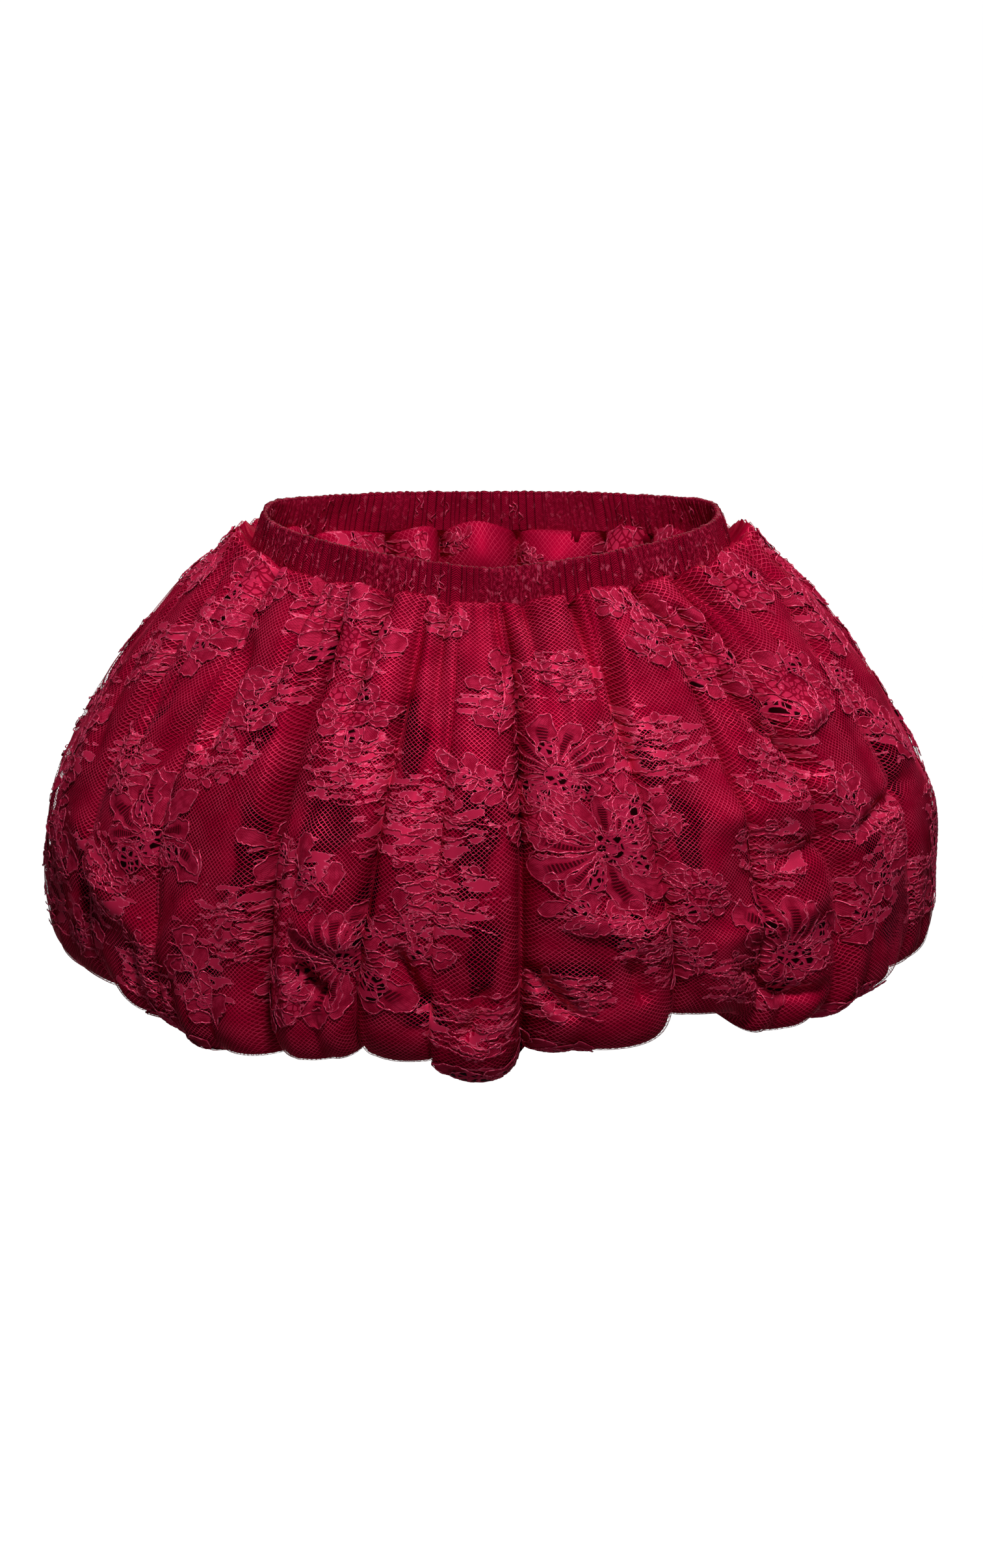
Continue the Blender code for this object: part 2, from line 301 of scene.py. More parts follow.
# %% Fold settings
HALF_CLOTH_WIDTH = 0.86  # metres of flat cloth in each half
FOLD_SHARPNESS = 0.34
PINCH_SHARE, PINCH_WIDTH = 0.95, 3.4 * MM
DRAG_STRENGTH, DRAG_NARROWING = 1.35, 0.85
GATHERS_IN_HALF = 13
GATHER_HEIGHT = 5.5 * MM
GATHER_GAP, GATHER_GAP_WIDTH = 13.0 * MM, 2.4 * MM
HEM_PUCKERS_IN_HALF = 21
HEM_PUCKER_HEIGHT = 7.0 * MM
FINE_GATHERS_IN_HALF = 62
FINE_GATHER_HEIGHT = 1.8 * MM
RIPPLE_HEIGHT = 0.4 * MM
GATHER_START, GAP_START = 5.0 * MM, 16.0 * MM  # drops over which gathers and their gaps grow
FINE_START, FINE_FADE = 3.0 * MM, 20.0 * MM
HEM_AT = 285.0 * MM  # where down the cloth the puckers reach their full height
SIDE_FADE, END_FADE, PINCH_FADE = 20.0 * MM, 30.0 * MM, 60.0 * MM
LONG_FOLDS_IN_HALF = 46
LONG_FOLD_HEIGHT = 3.4 * MM
PUFF_LIFT = 1.1  # how far a gather stands up over the band, as a share of its height
PUFF_LIMITS, PUFF_FADE = (-3.0 * MM, 9.0 * MM), 22.0 * MM
UNDER_START, UNDER_RUN = 0.66, 0.14  # where the cloth turns under, as shares of its length
# FULL_FALL scales the fall map, which paints shade into the satin's colour
FULL_FALL = 10.0 * MM  # the fall map is 1 where the satin hangs back this far

print(GATHERS_IN_HALF, "gathers and", LONG_FOLDS_IN_HALF, "narrow folds in each half")

# %% [markdown]
# ## Drag folds
# Where full cloth hangs from a narrow band, it is dragged aslant in places. Each such fold is a soft
# ridge or trough along a short line, because a line is easy to place beside the photo.

# %% Drag fold tables
# Angle and drop from the waist in mm at each end, then height and width in mm.
DRAG = ("angle_a", "drop_a", "angle_b", "drop_b", "height", "width")
FRONT_DRAGS = [
    (-68, 50, -59, 137, -6.5, 8),
    (-47, 55, -45, 124, -7.5, 10),
    (-34, 12, -30, 130, -4.5, 5),
    (-29, 130, -29, 270, -6.0, 5),
    (-13, 18, -14, 110, -4.5, 5),
    (-14, 150, -14, 240, -4.0, 5),
    (2, 4, 2, 74, -7.0, 4),
    (22, 18, 19, 118, -5.5, 6),
    (42, 26, 41, 66, -8.0, 6),
    (41, 66, 42, 100, -10.0, 7),
    (42, 100, 51, 138, -9.0, 7),
    (72, 26, 70, 88, -9.5, 7),
    (52, 146, 27, 158, 4.0, 13),
    (74, 166, 52, 180, -4.5, 7),
    (52, 179, 37, 181, -5.5, 8),
    (50, 188, 50, 256, -6.0, 5),
    (46, 205, 24, 244, 4.0, 12),
    (58, 100, 43, 116, 4.5, 9),
    (-50, 95, -57, 175, -4.5, 7),
    (-40, 200, -48, 250, 4.5, 10),
    (-23, 150, -19, 205, 4.5, 12),
    (-23, 234, -18, 254, -9.0, 6),
    (-25, 205, -12, 226, 4.5, 10),
    (-10, 222, -6, 262, -7.0, 5),
    (0, 238, -2, 270, -6.0, 5),
    (-8, 60, -7, 190, -2.5, 7),
    (5, 240, 9, 272, -9.0, 6),
    (15, 236, 16, 266, -6.0, 5),
    (12, 120, 14, 215, -3.0, 8),
    (8, 205, 20, 226, 2.5, 10),
    (-80, 60, -70, 150, -3.5, 9),
    (-72, 190, -50, 238, 4.5, 13),
    (30, 262, 44, 272, -6.0, 7),
]
BACK_DRAGS = [
    (118, 150, 140, 195, 6.0, 14),
    (116, 178, 138, 222, -5.0, 10),
    (152, 90, 158, 185, -3.5, 8),
    (170, 200, 186, 250, 5.5, 14),
    (172, 80, 169, 190, -3.0, 8),
    (190, 100, 188, 200, -3.5, 9),
    (208, 70, 206, 170, -3.0, 8),
    (224, 205, 240, 245, 5.0, 13),
    (243, 90, 246, 190, -4.0, 9),
    (262, 120, 260, 200, -3.0, 9),
    (98, 100, 99, 195, -3.5, 9),
]
print(len(FRONT_DRAGS), "drag folds at the front,", len(BACK_DRAGS), "at the back")

# %% [markdown]
# ## Two halves
# Sewn gathers are never quite alike, so their places, heights and lengths are random numbers. Each
# generator has a seed, which gives the same skirt every time. A half gathers up everything that
# the formula needs to know about the front or the back.

# %% Halves


def count_along(u, at):
    """How many of the uneven places in at have been reached at u, with the share of the next."""
    return np.interp(u, at, np.arange(len(at), dtype=float))


def uneven_steps(count, seed, spread):
    """Places from 0 to the cloth's width, each moved a little, for things spaced by hand."""
    rng = np.random.default_rng(seed)
    steps = np.arange(count + 1, dtype=float)
    steps[1:-1] += rng.uniform(-spread, spread, count - 1)
    return steps / count * HALF_CLOTH_WIDTH


# Things spaced unevenly across a half: how many, seed and spread of the spacing.
SPACED = [
    ("gather", GATHERS_IN_HALF, 1, 0.28),
    ("fine", FINE_GATHERS_IN_HALF, 2, 0.3),
    ("pucker", HEM_PUCKERS_IN_HALF, 3, 0.36),
    ("long", LONG_FOLDS_IN_HALF, 4, 0.38),
]
# What differs from one to the next: how many, least and most. Lengths and middles are in metres.
VARIED = [
    ("gather_height", GATHERS_IN_HALF, 0.45, 1.35),
    ("gather_length", GATHERS_IN_HALF, 0.04, 0.1),
    ("long_height", LONG_FOLDS_IN_HALF, -0.2, 1.0),
    ("long_middle", LONG_FOLDS_IN_HALF, 0.03, 0.24),
    ("long_reach", LONG_FOLDS_IN_HALF, 0.035, 0.1),
    ("pucker_height", HEM_PUCKERS_IN_HALF, 0.15, 1.3),
    ("pucker_length", HEM_PUCKERS_IN_HALF, 0.022, 0.06),
]


def make_half(name, creases, drags, seed):
    """What the formula needs to know about the front or the back."""
    rng = np.random.default_rng(seed)
    table = {key: np.array(column, float) for key, column in zip(CREASE, zip(*creases))}
    half = {"name": name, "creases": table, "first": table["middle"][0]}
    half["fold_starts"] = (table["middle"] - half["first"]) / 180.0 * HALF_CLOTH_WIDTH
    half["drags"] = [dict(zip(DRAG, row)) for row in drags]
    for key, count, step, spread in SPACED:
        half[key + "_at"] = uneven_steps(count, seed + step, spread)
    for key, count, least, most in VARIED:
        half[key] = rng.uniform(least, most, count + 1)
    return half


FRONT = make_half("front", FRONT_CREASES, FRONT_DRAGS, 11)
BACK = make_half("back", BACK_CREASES, BACK_DRAGS, 23)
HALVES = (FRONT, BACK)
print(len(FRONT_CREASES) - 1, "folds at the front,", len(BACK_CREASES) - 1, "at the back")

# %% [markdown]
# ## Relief
# Each kind of fold is a height in metres off the smooth form, and the heights are added up. Added
# heights keep every kind of fold in its own short function, where it can be tuned alone. The same
# could be sculpted by hand, but then the lace couldn't follow it by a formula.

# %% Relief on the folds


def flat_u(half, angle):
    """Metres across the cut piece at an angle round the body."""
    return (angle - half["first"]) / 180.0 * HALF_CLOTH_WIDTH


def puffs(phase, spacing, height, gap, gap_width):
    """Rounded puffs with narrow gaps between them; phase counts puffs, spacing is in metres."""
    share = phase % 1.0
    dome = np.sin(math.pi * share) ** 0.6
    to_gap = np.minimum(share, 1.0 - share) * spacing
    return height * dome - gap * np.exp(-((to_gap / gap_width) ** 1.3))


def gather_relief(half, u, v):
    """The gathers at the waist seam at flat places u across and v down."""
    at = half["gather_at"]
    phase = count_along(u, at)
    height = np.interp(u, at, half["gather_height"])
    length = np.interp(u, at, half["gather_length"])
    spacing = np.diff(at)[np.minimum(phase.astype(int), len(at) - 2)] * girth_at(v)
    fade = np.exp(-((v / length) ** 2)) * smooth_step(v / GATHER_START)
    gap = GATHER_GAP * height * smooth_step(v / GAP_START)
    main = puffs(phase, spacing, GATHER_HEIGHT * height, gap, GATHER_GAP_WIDTH)
    fine = np.sin(math.pi * count_along(u, half["fine_at"])) ** 2
    fine_fade = np.exp(-v / FINE_FADE) * smooth_step(v / FINE_START)
    return main * fade + FINE_GATHER_HEIGHT * (fine - 0.4) * fine_fade


def long_relief(half, u, v):
    """Narrow folds that run down the lobes, each between its own two heights."""
    at = half["long_at"]
    lean = u + 0.004 * np.sin(u * 43.0) * np.sin(v * 17.0) + 0.0035 * np.sin(v * 39.0 + u * 60.0)
    phase = count_along(lean, at)
    number = np.minimum(phase.astype(int), len(at) - 2)
    height, middle, reach = (half[key][number] for key in ("long_height", "long_middle", "long_reach"))
    fade = np.exp(-(((v - middle) / reach) ** 2))
    return LONG_FOLD_HEIGHT * np.maximum(height, 0.0) * np.sin(math.pi * (phase - number)) ** 2 * fade


def hem_relief(half, u, v):
    """Crumpled puckers where the cloth turns under and is drawn in to the lining."""
    lean = u + 0.2 * (v - 0.27) * np.sin(u * 31.0)
    phase = count_along(lean, half["pucker_at"])
    height = np.interp(u, half["pucker_at"], half["pucker_height"])
    length = np.interp(u, half["pucker_at"], half["pucker_length"])
    fade = np.exp(-((np.maximum(HEM_AT - v, 0.0) / length) ** 2))
    fade = fade * mix(0.35, 1.0, smooth_step(np.sin(math.pi * u / HALF_CLOTH_WIDTH) * 1.8))
    return HEM_PUCKER_HEIGHT * height * (np.abs(np.sin(math.pi * phase)) ** 0.9 - 0.5) * fade


def drag_relief(half, u, v):
    """Ridges and troughs along the listed lines."""
    total = np.zeros_like(u)
    for row in half["drags"]:
        a = np.array([flat_u(half, row["angle_a"]), row["drop_a"] * MM])
        b = np.array([flat_u(half, row["angle_b"]), row["drop_b"] * MM])
        way = b - a
        along = ((u - a[0]) * way[0] + (v - a[1]) * way[1]) / (way @ way)
        held = np.clip(along, 0.0, 1.0)
        off = np.hypot(u - a[0] - held * way[0], v - a[1] - held * way[1])
        ends = smooth_step(along / 0.35 + 0.35) * smooth_step((1.0 - along) / 0.35 + 0.35)
        width = DRAG_NARROWING * row["width"] * MM
        total += DRAG_STRENGTH * row["height"] * MM * np.exp(-((off / width) ** 2)) * ends
    return total


def ripple_relief(u, v, seed=5):
    """Soft, shallow unevenness: a few crossed waves of different lengths."""
    rng = np.random.default_rng(seed)
    total = np.zeros_like(u)
    for _ in range(9):
        length = rng.uniform(0.03, 0.1)
        lean = rng.uniform(-0.9, 0.9)
        phase = rng.uniform(0.0, 2.0 * math.pi)
        total += np.sin((u * math.cos(lean) + v * math.sin(lean)) * 2.0 * math.pi / length + phase)
    return total * RIPPLE_HEIGHT


def relief(half, u, v):
    """All the relief, which dies out at the side seams and at both ends of the cloth."""
    sides = smooth_step(u / SIDE_FADE) * smooth_step((HALF_CLOTH_WIDTH - u) / SIDE_FADE)
    lower_end = smooth_step((CLOTH_LENGTH - v) / END_FADE)
    total = gather_relief(half, u, v) + hem_relief(half, u, v)
    total = total + drag_relief(half, u, v) + ripple_relief(u, v) + long_relief(half, u, v)
    return total * sides * lower_end


print("relief adds gathers, narrow folds, puckers at the hem, drag folds and ripples")

# %% [markdown]
# ## From flat cloth to the body
# Lace is drawn on flat cloth, so the formula takes flat places: u metres across the cut piece and
# v metres down it. A table of arc length turns v into a station of the profile. Another says how
# far the gathers and creases draw the cloth in, so that the lace keeps its true size.

# %% Arc length and girth
FINE_STATIONS = np.linspace(0.0, LAST_STATION, 1200)
PROFILE = {
    key: curve_through(column, FINE_STATIONS) for key, column in zip(STATION, zip(*OUTLINE))
}
PROFILE["folds"] = np.maximum(PROFILE["folds"], 0.0)
profile_out = mix(SEAM_HALF[1], BALLOON_HALF[1], PROFILE["out"])
profile_run = np.hypot(np.diff(profile_out), np.diff(PROFILE["front_z"]) * MM)
ARC = np.concatenate([[0.0], np.cumsum(profile_run)])
CLOTH_LENGTH = float(ARC[-1])
profile_side = mix(SEAM_HALF[0], BALLOON_HALF[0], PROFILE["out"])
GIRTH = math.pi * np.sqrt((profile_out**2 + profile_side**2) / 2.0) / HALF_CLOTH_WIDTH
print("cloth length from seam to seam", round(CLOTH_LENGTH, 3), "m")

# %% [markdown]
# ## The satin behind the net
# The satin sinks deeper into the creases than the net. In patches it hangs back behind the net and out
# of the light. Such a patch shows dark through the net, from its own shadow and from painted shade in
# the satin's colour, or leaves the net see-through at the outline. A table places the patches, and each
# has a wavering edge.

# %% Net and satin settings
NET = {"stand_off": 0.2 * MM, "sink": 0.92, "slack": 0.0}
SATIN = {"stand_off": -1.0 * MM, "sink": 1.16, "slack": 1.0}

# Where the satin hangs back behind the net: angle and drop, then half sizes and depth in mm.
SLACK = ("angle", "drop", "wide", "high", "depth")
SLACKS = [
    (-86, 165, 34, 45, 8),
    (-56, 262, 28, 18, 7),
    (66, 258, 34, 26, 8),
    (90, 225, 30, 25, 5),
    (-2, 165, 9, 38, 12),
    (-1, 225, 8, 26, 11),
    (16, 214, 9, 22, 12),
    (-22, 158, 22, 26, 9),
    (-6, 264, 11, 12, 10),
    (9, 253, 15, 15, 10),
    (25, 168, 8, 30, 12),
    (-34, 182, 8, 40, 12),
    (47, 118, 9, 34, 12),
    (23, 118, 8, 22, 10),
    (-12, 105, 7, 34, 10),
    (-15, 206, 8, 24, 10),
    (-41, 246, 12, 16, 11),
    (58, 215, 10, 30, 11),
    (44, 60, 8, 20, 11),
    (-61, 120, 10, 44, 10),
    (-38, 95, 8, 36, 10),
    (72, 150, 9, 40, 10),
    (-70, 225, 12, 24, 10),
    (270, 160, 34, 45, 6),
    (120, 258, 34, 26, 8),
    (205, 262, 34, 22, 8),
    (104, 130, 10, 45, 10),
    (121, 190, 12, 30, 11),
    (140, 110, 9, 50, 10),
    (156, 215, 12, 26, 12),
    (168, 140, 9, 40, 11),
    (188, 190, 10, 38, 11),
    (196, 105, 8, 40, 10),
    (222, 135, 9, 42, 11),
    (238, 220, 12, 26, 11),
    (251, 120, 10, 40, 10),
]


def slack_depth(half, u, v):
    """How far the satin falls back behind the net, in patches with wavering, fairly crisp edges."""
    total = np.zeros_like(v)
    sway = u + 0.004 * np.sin(v * 95.0 + u * 50.0) + 0.002 * np.sin(v * 230.0)
    for row in SLACKS:
        place = dict(zip(SLACK, row))
        across = (sway - flat_u(half, place["angle"])) * girth_at(v) / (place["wide"] * MM)
        down = (v / MM - place["drop"]) / place["high"]
        total = np.maximum(total, place["depth"] * MM * np.exp(-((across**2 + down**2) ** 2)))
    return total


print(len(SLACKS), "patches where the satin hangs back")

# %% [markdown]
# ## The cloth formula
# One function turns flat places into points. It finds the fold and the station, works out how far
# the crease and the relief move the cloth in or out, and sets the result on the plan. Every layer
# calls it with its own stand-off, so nothing has to be projected or shrink-wrapped. A second
# function gives points a little off the cloth, which is where the lace and the cords lie.

# %% Flat places to points


def fold_of(half, u):
    """The fold that a flat place is in, and its share of the way across that fold."""
    starts = half["fold_starts"]
    place = count_along(u, starts)
    number = np.minimum(np.floor(place).astype(int), len(starts) - 2)
    return number, place - number


def girth_at(v):
    """Metres round the body for each metre of flat cloth."""
    return np.interp(v, ARC, GIRTH)


def body_points(half, u, v, layer=NET):
    """Points of a cloth layer at flat places."""
    crease = half["creases"]
    number, share = fold_of(half, u)
    station = np.interp(v, ARC, FINE_STATIONS)
    row = {key: np.interp(v, ARC, column) for key, column in PROFILE.items()}
    start = crease_angles(crease, number, station)
    end = crease_angles(crease, number + 1, station)
    angle = mix(start, end, share)
    valley = 1.0 - np.clip(np.sin(math.pi * share), 0.0, 1.0) ** FOLD_SHARPNESS
    near = np.minimum(share, 1.0 - share) * np.diff(half["fold_starts"])[number] * girth_at(v)
    nearest = np.where(share < 0.5, number, number + 1)
    pinch = PINCH_SHARE * crease["pinch"][nearest] * np.exp(-near / PINCH_WIDTH)
    depth = mix(crease["depth"][number], crease["depth"][number + 1], share) * valley * row["folds"]
    pinch = pinch * np.sqrt(row["folds"]) * smooth_step((CLOTH_LENGTH - v) / PINCH_FADE)
    depth = depth + crease["depth"][nearest] * pinch
    under = smooth_step((v / CLOTH_LENGTH - UNDER_START) / UNDER_RUN)
    stand_off = layer["stand_off"] * (1.0 - 0.6 * under)
    rise = stand_off + relief(half, u, v) - depth * MM * layer["sink"]
    rise = rise - layer["slack"] * slack_depth(half, u, v)
    half_width = mix(SEAM_HALF[0], BALLOON_HALF[0], row["out"]) + rise
    half_depth = mix(SEAM_HALF[1], BALLOON_HALF[1], row["out"]) + rise
    notch = mix(crease["notch"][number], crease["notch"][number + 1], share) * valley
    drop = (crease["hang"][number] * (1.0 - valley) - notch) * row["hem"] * MM
    z = height_at(row, angle) - drop
    puff = np.clip(gather_relief(half, u, v), *PUFF_LIMITS) * np.exp(-v / PUFF_FADE)
    z = z + PUFF_LIFT * puff * mix(2.0, 1.0, frontness(angle))
    points = on_plan(angle, half_width, half_depth, roundness(angle, row["out"]), z)
    points[..., 2] -= stand_off * under
    return points


def raised_points(ground, u, v, height):
    """Points at a height off a cloth surface on its right side, and the normals there."""
    step = 0.5 * MM
    across = ground.surface(u + step, v) - ground.surface(u - step, v)
    down = ground.surface(u, v + step) - ground.surface(u, v - step)
    normal = np.cross(down, across) * ground.facing
    normal /= np.maximum(np.linalg.norm(normal, axis=-1, keepdims=True), 1e-12)
    height = np.broadcast_to(height, u.shape)[..., None]
    return ground.surface(u, v) + normal * height, normal


sample_u, sample_v = np.meshgrid(
    np.linspace(0.0, HALF_CLOTH_WIDTH, 90), np.linspace(0.0, CLOTH_LENGTH, 60)
)
sample = body_points(FRONT, sample_u, sample_v)
print("the front reaches from", sample.min((0, 1)).round(3), "to", sample.max((0, 1)).round(3))

# %% [markdown]
# ## Grounds
# A ground is a cloth surface that lace is laid on: the two outer halves, the two halves of the
# lining and the waistband. Each has a formula from flat places to points, the side that faces the
# viewer, and a map that keeps the weave's size right. The lining's top is gathered into the same
# seam, and its puffs bulge up and show over the inside of the band.

# %% Lining formula
Ground = namedtuple("Ground", "name node slot surface facing girth weave width length")
FIRST_ANGLE = {"front": -90.0, "back": 90.0}

LINING_WIDTH, LINING_LENGTH = 0.40, 0.232
LINING_TOP_INSET, LINING_HEM_STEP_OUT, LINING_HEM_STEP_UP = 2.4 * MM, 0.9 * MM, 2.8 * MM
SEAM_GAP = 0.3 * MM
LINING_GATHERS = 11
LINING_PUFF, LINING_LIFT, LINING_DRAPE = 16.0 * MM, 13.0 * MM, 1.6 * MM
LINING_GAP, LINING_GAP_WIDTH = 9.0 * MM, 1.8 * MM
DOME_START, LINING_GAP_START, BULGE_START, DRAPE_START = 4.0 * MM, 8.0 * MM, 28.0 * MM, 50.0 * MM
BULGE_LENGTH, BULGE_FADE, LIFT_FADE = 30.0 * MM, 50.0 * MM, 14.0 * MM
LINING_SIDE_FADE, LINING_END_FADE = 12.0 * MM, 30.0 * MM
LINING_GATHER_AT = {
    name: uneven_steps(LINING_GATHERS, seed, 0.3) for name, seed in (("front", 61), ("back", 62))
}


def lining_points(name, u, v):
    """The inner tube: puffs that bulge up over the band's edge, then a flare down to the hem seam."""
    angle = FIRST_ANGLE[name] + 180.0 * u / LINING_WIDTH
    level = v / LINING_LENGTH
    hem = dict(zip(STATION, OUTLINE[-1]))
    width = mix(SEAM_HALF[0], BALLOON_HALF[0], hem["out"]) + LINING_HEM_STEP_OUT
    depth = mix(SEAM_HALF[1], BALLOON_HALF[1], hem["out"]) + LINING_HEM_STEP_OUT
    flare = mix(level, smooth_step(level), 0.35)
    at = LINING_GATHER_AT[name] * LINING_WIDTH / HALF_CLOTH_WIDTH
    phase = count_along(u, at)
    spacing = np.diff(at)[np.minimum(phase.astype(int), len(at) - 2)]
    dome = puffs(phase, spacing, 1.0, 0.0, 1.0) * smooth_step(v / DOME_START)
    gap = puffs(phase, spacing, 0.0, LINING_GAP, LINING_GAP_WIDTH) * smooth_step(v / LINING_GAP_START)
    puff = LINING_PUFF * dome * smooth_step(v / BULGE_START + 0.2) + gap
    puff = puff * np.exp(-((np.maximum(v - BULGE_LENGTH, 0.0) / BULGE_FADE) ** 2))
    uneven = 0.75 + 0.35 * np.sin(phase * 2.3 + 1.0)
    sides = smooth_step(u / LINING_SIDE_FADE) * smooth_step((LINING_WIDTH - u) / LINING_SIDE_FADE)
    drape = LINING_DRAPE * np.sin(u * 47.0 + 1.3 * np.sin(u * 19.0)) * smooth_step(v / DRAPE_START)
    inward = puff + drape * sides * smooth_step((LINING_LENGTH - v) / LINING_END_FADE)
    half_width = mix(SEAM_HALF[0] - LINING_TOP_INSET, width, flare) - inward
    half_depth = mix(SEAM_HALF[1] - LINING_TOP_INSET, depth, flare) - inward
    top = -BAND_HEIGHT / 2.0 - SEAM_GAP + waist_rise(angle)
    bottom = mix(hem["side_z"], hem["front_z"], frontness(angle)) * MM + LINING_HEM_STEP_UP
    z = mix(top, bottom, level) + LINING_LIFT * dome * uneven * np.exp(-v / LIFT_FADE)
    return on_plan(angle, half_width, half_depth, roundness(angle, hem["out"] * level), z)


print("lining", LINING_WIDTH, "x", LINING_LENGTH, "m with", LINING_GATHERS, "puffs in each half")

# %% [markdown]
# ## The waistband
# The band is a strip of net folded over elastic, which draws it up into narrow channels called
# ruches. Its formula runs up the inside, over a soft roll at the top and down the outside, so one
# sheet covers all three and no seam shows.

# %% Waistband formula
BAND_ROUND = 0.744  # metres round the waistband
BAND_WALL = 3.0 * MM
RUCHES = 214
RUCHE_DEPTH, BAND_CROWN, BAND_SOFTNESS = 1.0 * MM, 1.1 * MM, 0.8 * MM
ruche_rng = np.random.default_rng(3)
RUCHE_AT = np.linspace(0.0, BAND_ROUND, RUCHES + 1)
RUCHE_AT[1:-1] += ruche_rng.uniform(-0.42, 0.42, RUCHES - 1) * BAND_ROUND / RUCHES
RUCHE_SIZE = ruche_rng.uniform(0.35, 1.5, RUCHES + 1)
BAND_TURN = BAND_HEIGHT + BAND_WALL  # how far down the outside the top roll ends, over the top


def ruche_phase(u):
    """How many ruches have been passed at u."""
    return count_along(u % BAND_ROUND, RUCHE_AT)


def band_points(u, v):
    """The waistband: v runs up the inside from 0, rolls over the top and goes down the outside."""
    angle = -90.0 + 360.0 * u / BAND_ROUND
    phase = ruche_phase(u + 0.9 * MM * np.sin(v * 160.0 + 2.0 * np.sin(u * 90.0)))
    size = np.interp(u % BAND_ROUND, RUCHE_AT, RUCHE_SIZE)
    channel = np.sin(math.pi * (phase % 1.0)) ** 0.8 * size
    inside = v < BAND_HEIGHT
    rolled = np.clip((v - BAND_HEIGHT) / BAND_WALL, 0.0, 1.0)
    level = np.where(inside, 1.0 - v / BAND_HEIGHT, np.clip((v - BAND_TURN) / BAND_HEIGHT, 0.0, 1.0))
    inset = BAND_WALL * (0.5 + 0.5 * np.cos(math.pi * rolled))
    crown = BAND_CROWN * np.sin(math.pi * rolled) * (0.6 + 0.6 * channel)
    outward = np.where(rolled > 0.5, 1.0, -1.0) * RUCHE_DEPTH * (channel - 0.5)
    soft = BAND_SOFTNESS * np.sin(angle * 0.21) * np.sin(math.pi * level)
    half_width = mix(TOP_HALF[0], SEAM_HALF[0], level) - inset + outward + soft
    half_depth = mix(TOP_HALF[1], SEAM_HALF[1], level) - inset + outward + soft
    z = BAND_HEIGHT * (0.5 - level) + waist_rise(angle) + crown
    return on_plan(angle, half_width, half_depth, roundness(angle, 0.0), z)


def lining_weave(u, v, faces):
    """Cloth places, spread wider towards the flared hem."""
    u, v = u.reshape(-1)[faces], v.reshape(-1)[faces]
    return np.stack([u * (1.0 + v), v], -1)


def band_weave(u, v, faces):
    """Channel number across, so that the chevrons follow the ruches, and metres down."""
    phase = ruche_phase(u.reshape(-1)[faces])
    wrapped = phase.max(-1, keepdims=True) - phase > RUCHES / 2
    return np.stack([np.where(wrapped, phase + RUCHES, phase), v.reshape(-1)[faces]], -1)


def true_width(v):
    """The girth of a ground that isn't drawn in: its cloth lies at true width."""
    return np.ones_like(v)


print("waistband", BAND_ROUND, "m round with", RUCHES, "ruches")

# %% [markdown]
# ## Sheets as grids
# Each sheet is a grid of faces. The columns of the outer sheets crowd towards the creases, so that a
# crease is a clean line. The UV map named cloth holds metres on the cloth. Gathered cloth keeps its
# weave's size and hides the rest in its creases, so the outer map starts again in each fold.

# %% Grid meshes
COLUMN_CROWDING = 0.55  # 0 spaces the columns evenly, 1 crowds them most to the creases
FOLD_BULGE = 1.06  # cloth over a full fold is this much longer than straight across it
NEXT_FOLD = 0.137  # moves the weave on from fold to fold, so that no pattern repeats


def new_piece(name, verts, faces, material, node):
    """A visual mesh that rides on the skirt and stands for one of its solids."""
    data = bpy.data.meshes.new(name)
    data.from_pydata(verts.tolist(), [], faces.tolist())
    data.shade_smooth()
    data.materials.append(material)
    piece = bpy.data.objects.new(name, data)
    bpy.context.scene.collection.objects.link(piece)
    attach(piece, "root")
    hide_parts(node)
    print(name, 2 * len(data.polygons), "triangles")
    return piece


def set_map(piece, name, flat):
    """Fill a UV map from one pair of values for each corner of each face."""
    layer = piece.data.uv_layers.new(name=name)
    layer.data.foreach_set("uv", np.asarray(flat, np.float32).reshape(-1))


def grid_faces(rows, columns):
    """The quads of a grid of points, as rows of four point numbers."""
    index = np.arange(rows * columns).reshape(rows, columns)
    corners = [index[:-1, :-1], index[1:, :-1], index[1:, 1:], index[:-1, 1:]]
    return np.stack(corners, -1).reshape(-1, 4)


def fold_columns(half, in_each_fold):
    """Flat places across the cloth, closer together at the creases."""
    starts = half["fold_starts"]
    step = np.arange(in_each_fold) / in_each_fold
    crowded = mix(step, 0.5 - 0.5 * np.cos(math.pi * step), COLUMN_CROWDING)
    return np.append((starts[:-1, None] + np.diff(starts)[:, None] * crowded).ravel(), starts[-1])


def fold_weave(half, u, v, faces):
    """True-size cloth places for each corner of each face, fold by fold."""
    u, v = u.reshape(-1)[faces], v.reshape(-1)[faces]
    number, _ = fold_of(half, u.mean(-1, keepdims=True))
    middle = (half["fold_starts"][number] + half["fold_starts"][number + 1]) / 2.0
    across = (u - middle) * girth_at(v) * FOLD_BULGE + number * NEXT_FOLD
    return np.stack([across, v], -1)


NETTED = {}  # for each solid, the outermost sheet and the flat places of its faces' corners


def sheet_piece(ground, name, surface, columns, rows, material):
    """A cloth sheet over a ground's whole width and length, whose flat places are kept."""
    u, v = np.meshgrid(columns, rows)
    faces = grid_faces(*u.shape)
    piece = new_piece(name, surface(u, v).reshape(-1, 3), faces, material, ground.node)
    set_map(piece, "cloth", ground.weave(u, v, faces))
    NETTED[ground.node] = piece, np.stack([u.reshape(-1)[faces], v.reshape(-1)[faces]], -1)
    return piece


print("a grid of 3 x 3 points has", len(grid_faces(3, 3)), "faces")

# %% [markdown]
# ## The five grounds
# Front and back share one formula and differ only in their tables and first angle, so a loop makes
# both. A named tuple keeps what belongs to a ground together.

